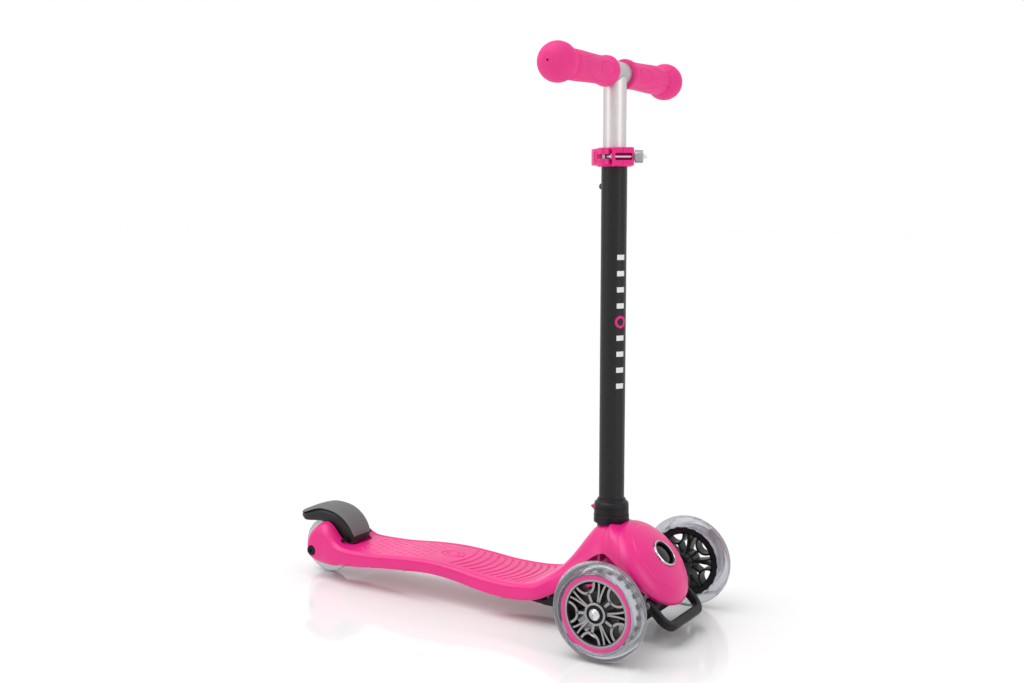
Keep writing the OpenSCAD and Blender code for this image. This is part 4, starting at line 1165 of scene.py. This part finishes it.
# %% [markdown]
# ### Brake
#
# The brake over the rear wheel is a curved fender in two layers: a charcoal carrier that straddles the
# tyre, and a grey foot pad with a pebbled skin. Both are lofts from the tail to the hinge, with the same
# crown, so that the pad sits on the carrier like a cap.

# %% Brake fender and foot pad
fender_tip = rear_x - 43.5
# Each station: distance from the tip, low edge, top of the carrier, top of the pad, half width
fender_run = [
    (0.3, 82.5, 84.0, 86.0, 7), (1.6, 81.0, 84.6, 87.6, 12), (4.5, 79.8, 86.0, 89.6, 16),
    (8.5, 78.4, 87.6, 91.2, 19), (14.5, 76.2, 89.7, 93.7, 21.3), (24, 76.8, 93.6, 97.6, 22.4),
    (35.5, 78.0, 98.0, 101.2, 22.8), (46, 78.2, 100, 103.1, 23), (60, 70, 99.0, 102.2, 22.9),
    (71, 65.0, 96.6, 99.8, 22.6), (80, 55.6, 92.2, 95.6, 22.1), (88, 50.0, 86.4, 89.8, 21.5),
    (95, 51.0, 79, 82.0, 20.9), (100, 55.0, 70.5, 73.4, 20.3), (102.6, 60, 64.5, 66.5, 19.6),
]


def fender_rows(low_of, high_of, narrow, n, end):
    """Rings across the fender, from its tail forward. low_of and high_of pick each ring's edges."""
    s = np.array(fender_run, float)
    runs = smooth_sections(np.c_[s, np.zeros((len(s), 3))], 2.5)
    rows = []
    for d, low, mid, top, half, *_ in runs:
        if d > end:
            break
        a, b = low_of(low, mid, top), high_of(low, mid, top)
        if b - a < 0.6:
            b = a + 0.6
        ring = []
        for t in np.radians(np.arange(0, 360, 5.0)):
            c, q = math.cos(t), math.sin(t)
            y = (half - narrow) * math.copysign(abs(c) ** (2 / n), c)
            z = (a + b) / 2 + (b - a) / 2 * math.copysign(abs(q) ** (2 / n), q)
            z -= 3.0 * abs(y / 23) ** 3.2
            ring.append((fender_tip + d, y, z))
        rows.append(ring)
    return rows


carrier = loft("fender_carrier", fender_rows(lambda l, m, t: l, lambda l, m, t: m, 0.5, 4.2, 101.4))
tunnel = turned("tunnel", [(0, -14.5), (47.5, -14.5), (47.5, 14.5), (0, 14.5)], rear_at, 128)
cut(carrier, tunnel)
hinge_y = 40
hinge = (rear_x + 49, rear_r + 19)
cut(carrier, rod("hinge", (hinge[0], -hinge_y, hinge[1]), (hinge[0], hinge_y, hinge[1]), 2.6, 48))
cut(carrier, rod("pocket", (hinge[0], -7, hinge[1]), (hinge[0], 7, hinge[1]), 7, 48))
finished(carrier, "brake", "fender_dark", fender_dark, "brake_fender")
pad = loft("fender_foot_pad", fender_rows(lambda l, m, t: m - 1.6, lambda l, m, t: t, 0.2, 2.2, 102.6))
finished(pad, "brake", "fender_skin", fender_grey, "fender_skin")
print("brake done")

# %% [markdown]
# ## Bar, collar and handle
#
# The bar is two tubes, one sliding in the other, and a third lies across the top. Tubes are turned with
# many steps, because a long highlight shows every flat.

# %% Tubes
up = place((bar_x, 0, 0), (0, 0, 1))
tube_low, tube_high = span("lower_tube")
lower = turned("black_lower_tube", [(14.5, tube_low[2]), (15.7, tube_low[2]), (16, tube_low[2] + 0.4),
                                    (16, tube_high[2] - 0.4), (15.7, tube_high[2]), (15.25, tube_high[2]),
                                    (15.25, tube_high[2] - 25), (14.5, tube_high[2] - 25.2)], up, 160)
snap_z = centre("snap_button")[2]
cut(lower, rod("hole", (bar_x - 20, 0, snap_z), (bar_x - 8, 0, snap_z), 3.8, 48))
finished(lower, "bar", "black_tube", black_paint, "lower_tube")
stem_low, _ = span("upper_tube")
stem = turned("silver_upper_tube", [(12.8, stem_low[2]), (14.1, stem_low[2]), (14.3, stem_low[2] + 0.3),
                                    (14.3, handle_z - 6), (12.8, handle_z - 6)], up, 160)
cut(stem, rod("saddle", (bar_x, -20, handle_z), (bar_x, 20, handle_z), 13.6, 96))
cut(stem, block("slot", (bar_x - 20, -3.9, snap_z - 54.6), (bar_x - 4, 3.9, snap_z + 54.6)))
finished(stem, "stem", "silver_tube", silver_tube, "upper_tube")
cross_half = (span("cross_tube")[1][1] - span("cross_tube")[0][1]) / 2
sideways = place((bar_x, 0, handle_z), (0, 1, 0))
cross = turned("silver_cross_tube", [(12.5, -cross_half), (14, -cross_half), (14, cross_half),
                                     (12.5, cross_half)], sideways, 128)
finished(cross, "stem", "silver_tube", silver_cross, "cross_tube")
print("tubes done")

# %% [markdown]
# ### Weld and collar
#
# The cross tube sits in a saddle on the upper tube, and a rippled bead of weld follows the saddle line.
# The bead is rings of points along that line. A turned black collar holds the foot of the bar, with a
# seam and a rounded shoulder.

# %% Weld bead and collar
def weld():
    """A rippled bead that follows the saddle line between the two tubes."""
    bm = bmesh.new()
    rows = []
    for k in range(180):
        a = 2 * math.pi * k / 180
        x, y = 14.35 * math.cos(a), 14.35 * math.sin(a)
        z = -math.sqrt(max(0, 14.1**2 - min(x * x, 13.2**2)))
        ripple = 0.85 + 0.18 * math.sin(26 * a)
        out = Vector((math.cos(a), math.sin(a), -0.8)).normalized()
        side = out.cross(Vector((-math.sin(a), math.cos(a), 0))).normalized()
        middle = Vector((bar_x + x, y, handle_z + z - 0.2))
        rows.append([middle + ripple * (math.cos(t) * out + math.sin(t) * side)
                     for t in np.radians(np.arange(0, 360, 45))])
    grid_mesh(bm, rows, close_rows=True)
    bmesh.ops.recalc_face_normals(bm, faces=bm.faces)
    return to_object("handle_weld", bm, 60)


finished(weld(), "stem", "silver_tube", silver_cross, "weld_bead")
collar_low = span("bar_socket_ring")[0][2]
collar = turned("bar_collar_top", [
    (16.15, collar_low + 10.15), (21.6, collar_low + 10.15), (22, collar_low + 10.6),
    (22, collar_low + 19.0), (21.55, collar_low + 19.2), (21.5, collar_low + 19.8),
    (21.9, collar_low + 20.1), *arc(16.9, collar_low + 22.6, 4.9, 0, 70, 10), (18.1, collar_low + 28.4),
    (17.9, collar_low + 29.6), (17.5, collar_low + 30), (16.15, collar_low + 30)], up, 128)
cut(collar, block("slot", (bar_x - 24, -3.8, collar_low + 9), (bar_x - 16, 3.8, collar_low + 20)))
finished(collar, "deck", "black_shell", black_shell, "bar_collar")
ring = turned("bar_socket_trim", [(16.15, collar_low + 0.05), (22.3, collar_low + 0.05),
                                  (22.5, collar_low + 0.4), (22.4, collar_low + 9.5),
                                  (22, collar_low + 9.95), (16.15, collar_low + 9.95)], up, 128)
cut(ring, block("slot", (bar_x - 24, -3.8, collar_low + 2), (bar_x - 16, 3.8, collar_low + 11)))
finished(ring, "deck", "black_shell", black_shell, "bar_socket_ring")
print("collar done")

# %% [markdown]
# ## Grips
#
# The grips are soft rubber over the ends of the cross tube: a ball at the outer end keeps a small hand on,
# a waist fits the fingers, and a flange stops the thumb. A turned shape is the start. Then every point is
# moved a little by a rule: an oval thumb mark, two wavy mould lines, and rings round the streamer hole.

# %% Make the grips
grip_from = 21.0
grip_len = span("left_grip")[1][1] - grip_from
BALL = 23.5
waist = [(14, 0), (17.2, 0), (18.2, 0.7), (18.9, 3), (18.8, 6.5), (18.1, 10), (17.3, 14), (16.95, 20),
         (16.9, 30), (17.05, 40), (17.3, 50), (17.7, 62), (18.1, 72), (18.3, grip_len - 50),
         (19.0, grip_len - 46.2)]


def grip_profile():
    """The outside from flange to ball, sampled about every 0.8 mm."""
    ball = [(BALL * math.cos(math.radians(a)), grip_len - BALL + BALL * math.sin(math.radians(a)))
            for a in range(-52, 85, 2)]
    points = waist[1:-1] + ball
    out = [points[0]]
    for a, b in zip(points[:-1], points[1:]):
        gap = math.hypot(b[0] - a[0], b[1] - a[1])
        steps = max(1, int(gap / 0.8))
        out += [(a[0] + (b[0] - a[0]) * k / steps, a[1] + (b[1] - a[1]) * k / steps)
                for k in range(1, steps + 1)]
    return out


def grip_relief(h, angle, r):
    """How far a point stands out, in millimetres, from its place along the grip and around it."""
    relief = 0.0
    front = (angle + math.pi) % (2 * math.pi) - math.pi
    oval = math.hypot((h - 31) / 17, front * r / 8.5)
    relief -= 0.8 * float(dent(abs(oval - 1) * 9, 1.2))
    if h < grip_len - 20:
        for side in (-1, 1):
            wave = side * (0.78 + 0.34 * math.sin((h - 6) / 17.5))
            relief -= 0.75 * float(dent(abs(front - wave) * r, 1.2))
            back = abs(abs(front) - (math.pi - 0.5 - 0.2 * math.cos(h / 15)))
            relief -= 0.6 * float(dent(back * r, 1.1))
    for ring_r in (4.2, 7.4):
        if h > grip_len - BALL * 0.8:
            relief -= 0.6 * float(dent(abs(r - ring_r), 1.0))
    return relief


def grip(word, side):
    at = place((bar_x, side * grip_from, handle_z), (0, side, 0), (0, 0, 1))
    outside = grip_profile()
    steps = 168
    bm = bmesh.new()
    rows = []
    for r, h in outside:
        row = []
        ball = h > grip_len - 1.8 * BALL
        lean = math.atan2(h - (grip_len - BALL), r) if ball else 0.0
        for k in range(steps):
            a = 2 * math.pi * k / steps
            local = at.to_3x3() @ Vector((math.cos(a), math.sin(a), 0))
            facing = math.atan2(local.z, local.x)
            relief = grip_relief(h, facing, r)
            out = r + relief * math.cos(lean)
            row.append(at @ Vector((out * math.cos(a), out * math.sin(a), h + relief * math.sin(lean))))
        rows.append(row)
    for r, h in ((1.6, grip_len - 0.3), (1.6, grip_len - 8), (13.9, grip_len - 11.5), (14.02, 0)):
        rows.append([at @ Vector((*polar(r, 360 * k / steps), h)) for k in range(steps)])
    grid_mesh(bm, rows, close_rows=True)
    bmesh.ops.recalc_face_normals(bm, faces=bm.faces)
    piece = to_object(word + "_rubber_grip", bm, 50)
    return finished(piece, "stem", "pink_grip", pink_grip, word + "_grip")


for word, side in (("left", 1), ("right", -1)):
    grip(word, side)
print("grips done")

# %% [markdown]
# ## Nose lock
#
# A black button in a chrome ring sits in the middle of the round nose. The ring is turned with a polished
# bevel, a dark throat lines it, and the button is a shallow dome with two prongs behind it.

# %% Lock button
nose_at = place(pin_point(0), pin_point(-1) - pin_point(0))
bezel = turned("lock_bezel_ring", [(16.3, 0.6), (16.6, 1.3), (17.1, 1.35), (17.7, 0.9), (17.95, 0.2),
                                   (17.95, -5.7), (16.3, -5.7)], nose_at, 128)
finished(bezel, "deck", "chrome", chrome, "lock_bezel")
throat = turned("lock_bezel_throat", [(14.55, -1.0), (14.8, 0.2), (15.5, 0.7), (16.25, 0.75), (16.25, -5.6),
                                      (14.55, -5.6)], nose_at, 128)
finished(throat, "deck", "black_shell", black_gloss)
button = turned("lock_button_cap", [(0, -0.42), (5, -0.7), (9, -1.4), (12, -2.3), (13.6, -3.1),
                                    (14.15, -4.2), (14.15, -6.5), (16.5, -6.5), (16.5, -7.9), (0, -7.9)],
                nose_at, 96)
prongs = [rod("prong", pin_point(7.5, s * 13.5), pin_point(22.5, s * 13.5), 1.78, 24) for s in (-1, 1)]
button = join("lock_button_cap", [button, *prongs])
finished(button, "lock_button", "black_shell", black_gloss, "lock_button")
print("lock done")

# %% [markdown]
# ## Loop
#
# A black loop folds down from under the nose. Its outline is a U of straight arms and soft corners, and
# its section is a box with round edges, so it is a loft along that path. The arms are slimmer than the
# bar, which leaves them clear of the cover when the loop folds.

# %% The loop under the nose
loop_pivot = Vector((front_x + 26.5, 0, axle_z - 9))
loop_bar = Vector((front_x + 53, 0, axle_z - 34.5))
ARM_Y = 48.6


def loop_path(corner=15.0, steps=14):
    """Points down one arm, round a soft corner, along the bar and up again, and the way down the arms."""
    down = (loop_bar - loop_pivot).normalized()
    length = (loop_bar - loop_pivot).length
    points = []
    for t in np.linspace(-4.5, length - corner, 12):
        points.append((-ARM_Y, t))
    for a in np.linspace(0, 90, steps)[1:]:
        points.append((-ARM_Y + corner - corner * math.cos(math.radians(a)),
                       length - corner + corner * math.sin(math.radians(a))))
    points += [(y, length) for y in np.linspace(-ARM_Y + corner, 0, 8)[1:]]
    points += [(-y, t) for y, t in points[-2::-1]]
    return down, points


def loop_piece():
    down, points = loop_path()
    across = Vector((-down.z, 0, down.x))
    flat = np.array(points)
    way = np.gradient(flat, axis=0)
    way /= np.linalg.norm(way, axis=1)[:, None]
    rows = []
    last = len(points) - 1
    for k, (y, t) in enumerate(points):
        end = min(1.0, 0.62 + 0.22 * min(k, last - k))
        wide = (4.15 + 1.85 * min(1, max(0, (ARM_Y - abs(y)) / 12))) * end
        side = Vector((0, 1, 0)) * -way[k][1] + down * way[k][0]
        middle = loop_pivot + down * t + Vector((0, y, 0))
        ring = []
        for a in np.radians(np.arange(0, 360, 12)):
            c, q = math.cos(a), math.sin(a)
            ring.append(middle + side * (wide * math.copysign(abs(c) ** 0.62, c))
                        + across * (5.9 * end * math.copysign(abs(q) ** 0.62, q)))
        rows.append(ring)
    piece = loft("front_loop_frame", rows, 40)
    return cut(piece, rod("bore", loop_pivot - Vector((0, 70, 0)), loop_pivot + Vector((0, 70, 0)), 2.56))


finished(loop_piece(), "front_loop", "black_shell", black_shell, "front_loop")
print("loop done")

# %% [markdown]
# ## Clamp
#
# A split pink band grips the tubes, and a lever with a cam at its end squeezes its ears. Both are made
# about the origin, where their sizes are easy to read, by joining and cutting plain shapes, and then
# moved to the bar.

# %% The clamp band and its lever
clamp_low = span("clamp_band")[0][2]
CLAMP_H = 23.0
clamp_at = Matrix.Translation((bar_x, 0, clamp_low)) @ Matrix.Rotation(math.radians(-58.6), 4, "Z")


def in_clamp(piece):
    """Moves a piece made about the origin to the clamp."""
    piece.data.transform(Matrix.Scale(MM, 4) @ clamp_at @ Matrix.Scale(1 / MM, 4))
    return piece


def clamp_rod(start, end, radius):
    return in_clamp(rod("tool", start, end, radius, 64))


def clamp_band_piece():
    band = turned("clamp_band_body", [
        (15.2, 0), (20.6, 0), (21.4, 0.8), (21.4, 22.2), (20.6, CLAMP_H), (15.2, CLAMP_H)], clamp_at, 128)
    ears = in_clamp(soften(block("ears", (8, -5.5, 0.2), (31, 21.5, CLAMP_H - 0.2)), 2.2, 5))
    cut(band, ears, operation="UNION")
    cut(band, clamp_rod((0, 0, -1), (0, 0, 21), 16.05), clamp_rod((0, 0, 19), (0, 0, 30), 15.0))
    cut(band, in_clamp(block("split", (14, 7.85, -2), (48, 8.15, 30))))
    cut(band, in_clamp(soften(block("window", (22, -1.5, 7.2), (42, 19.2, 15.8)), 1.6, 4)))
    return cut(band, clamp_rod((25, -20, 11.5), (25, 40, 11.5), 2.65))


def lever_piece():
    """A cam with a long finger part that wraps the band, with two grooves cut for the thumb."""
    inner, outer = 21.9, 28.3
    outline = [polar(outer, a) for a in np.linspace(-31, -178, 60)]
    outline += [polar((inner + outer) / 2 + 2.6 * math.cos(math.radians(b)),
                      -180 - 6 * math.sin(math.radians(b))) for b in np.linspace(20, 160, 8)]
    outline += [polar(inner, a) for a in np.linspace(-178, -31, 60)]
    finger = plate("clamp_lever_body", outline, Matrix.Translation((0, 0, 1.5)), 20)
    lever = in_clamp(soften(finger, 1.3, 4, 50))
    cam = in_clamp(soften(turned("cam", [(0, 1.5), (7.5, 1.5), (7.5, 21.5), (0, 21.5)],
                                 Matrix.Translation((25, -15, 0)), 96), 1.0, 3))
    cut(lever, cam, operation="UNION")
    for angle in (-52, -64):
        rib = soften(block("rib", (outer - 1.5, -1.1, 4), (outer + 0.08, 1.1, 19)), 0.8, 3)
        rib.data.transform(Matrix.Rotation(math.radians(angle), 4, "Z"))
        cut(lever, in_clamp(rib))
    cut(lever, clamp_rod((0, 0, -3), (0, 0, 30), 21.8))
    cut(lever, in_clamp(block("gap", (21.8, -40, 8.8), (60, 9, 14.2))))
    cut(lever, in_clamp(block("washer_room", (5, -7.2, -3), (60, 30, 30))))
    return cut(lever, clamp_rod((25, -15, -3), (25, -15, 30), 2.05))


finished(clamp_band_piece(), "bar", "pink_shell", pink_shell, "clamp_band")
finished(lever_piece(), "clamp_lever", "pink_shell", pink_shell, "clamp_lever")
print("clamp done")

# %% [markdown]
# ## Mechanical parts that keep the frame's shape
#
# The beam, the cover and the fasteners are already the right shape in the frame. A merged copy of each,
# with its edges rounded by a mould-maker's radius, catches the light as the real one does. The amount
# differs: a moulded cover is round to the hand, and a nut is only broken at its corners.

# %% Soften the mechanical parts
soft_parts = [
    ("under_cover", "deck", "black_shell", black_shell, 1.2),
    ("cover_screws", "deck", "steel", zinc_steel, 0.4),
    ("kingpin", "deck", "steel", zinc_steel, 0.4),
    ("kingpin_nut", "deck", "steel", zinc_steel, 0.5),
    ("rear_axle", "deck", "steel", black_steel, 0.3),
    ("rear_axle_nut", "deck", "steel", black_steel, 0.3),
    ("brake_pin", "deck", "steel", black_steel, 0.3),
    ("loop_pins", "deck", "steel", zinc_steel, 0.4),
    ("bar_socket", "deck", "black_shell", black_shell, 0.2),
    ("catch_pin", "deck", "steel", zinc_steel, 0.1),
    ("steering_beam", "steering_beam", "black_shell", black_shell, 1.2),
    ("beam_bushes", "steering_beam", "grey_plastic", bush_grey, 0.2),
    ("left_spacer", "left_wheel", "silver_tube", silver_cross, 0.2),
    ("right_spacer", "right_wheel", "silver_tube", silver_cross, 0.2),
    ("rear_spacer", "rear_wheel", "silver_tube", silver_cross, 0.2),
    ("brake_lining", "brake", "steel", zinc_steel, 0.2),
    ("release_catch", "release_catch", "pink_shell", pink_shell, 0.5),
    ("foot_plug", "bar", "black_shell", black_shell, 0.5),
    ("tube_bush", "bar", "grey_plastic", bush_grey, 0.1),
    ("clamp_bolt", "bar", "chrome", chrome, 0.2),
    ("clamp_washer", "bar", "steel", zinc_steel, 0.15),
    ("cam_pin", "bar", "steel", zinc_steel, 0.2),
    ("snap_spring", "bar", "steel", zinc_steel, 0.1),
    ("clamp_nut", "clamp_nut", "steel", zinc_steel, 0.2),
    ("snap_button", "snap_button", "grey_plastic", bush_grey, 0.2),
]
for node, body, slot, material, width in soft_parts:
    piece = soften(copy_of(node, node + "_finished"), width, 3)
    finished(piece, body, slot, material, node)
print("softened:", len(soft_parts))

# %% [markdown]
# ## Studio
#
# A pale floor with a faint mirror, a white surround, and two large soft lamps: one on the left, and a
# tall one on the right that draws the long highlight down the tubes. A broad light from above keeps the
# floor white.

# %% Floor, lights and camera
bpy.ops.mesh.primitive_plane_add(size=40, location=(0, 0, -0.0002))
floor = bpy.context.object
floor.name = "studio_floor"
floor_look, nodes, links, shader = tree_of("studio floor")
shader.inputs["Base Color"].default_value = (0.93, 0.93, 0.93, 1)
shader.inputs["Roughness"].default_value = 0.10
shader.inputs["Specular IOR Level"].default_value = 0.35
floor.data.materials.append(floor_look)

world = bpy.data.worlds.new("white studio")
bpy.context.scene.world = world
world.use_nodes = True
sky = world.node_tree.nodes["Background"]
sky.inputs["Color"].default_value = (1, 1, 1, 1)
# The surround is white where it is seen or mirrored, but fills the shadows only a little.
which_ray = world.node_tree.nodes.new("ShaderNodeLightPath")
fill = world.node_tree.nodes.new("ShaderNodeMapRange")
fill.inputs["To Min"].default_value = 1.0
fill.inputs["To Max"].default_value = 0.62
world.node_tree.links.new(which_ray.outputs["Is Diffuse Ray"], fill.inputs["Value"])
world.node_tree.links.new(fill.outputs["Result"], sky.inputs["Strength"])


def soft_lamp(name, at, target, size, watts):
    lamp = bpy.data.lights.new(name, "AREA")
    lamp.shape = "RECTANGLE"
    lamp.size, lamp.size_y = size
    lamp.energy = watts
    holder = bpy.data.objects.new(name, lamp)
    bpy.context.scene.collection.objects.link(holder)
    holder.location = at
    holder.rotation_euler = (Vector(target) - Vector(at)).to_track_quat("-Z", "Y").to_euler()
    return holder


soft_lamp("left_lamp", (-1.6, -2.0, 1.3), (0, 0, 0.25), (0.9, 1.4), 10)
soft_lamp("right_strip_lamp", (2.2, -0.4, 1.1), (0.1, 0, 0.3), (0.5, 2.0), 8)
# A broad far light over the whole floor, so that the floor stays white right out to the horizon
sun = bpy.data.lights.new("ceiling_light", "SUN")
sun.energy = 1.5
sun.angle = math.radians(50)
ceiling = bpy.data.objects.new("ceiling_light", sun)
bpy.context.scene.collection.objects.link(ceiling)
ceiling.rotation_euler = (math.radians(14), math.radians(-16), 0)

camera_data = bpy.data.cameras.new("studio_camera")
camera = bpy.data.objects.new("studio_camera", camera_data)
bpy.context.scene.collection.objects.link(camera)
bpy.context.scene.camera = camera
camera_data.sensor_width = 36
camera_data.lens = 44.56
camera.location = (0.9107, -1.4112, 0.5367)
yaw, pitch = math.radians(121.42), math.radians(-6.24)
look = Vector((math.cos(yaw) * math.cos(pitch), math.sin(yaw) * math.cos(pitch), math.sin(pitch)))
camera.rotation_mode = "QUATERNION"
camera.rotation_quaternion = look.to_track_quat("-Z", "Y")
bpy.context.scene.view_settings.view_transform = "Standard"
print("studio ready")

# %% [markdown]
# ## Count the pieces
#
# The last step prints how many pieces were made.

# %% Count the pieces
print("pieces:", len(pieces_made))
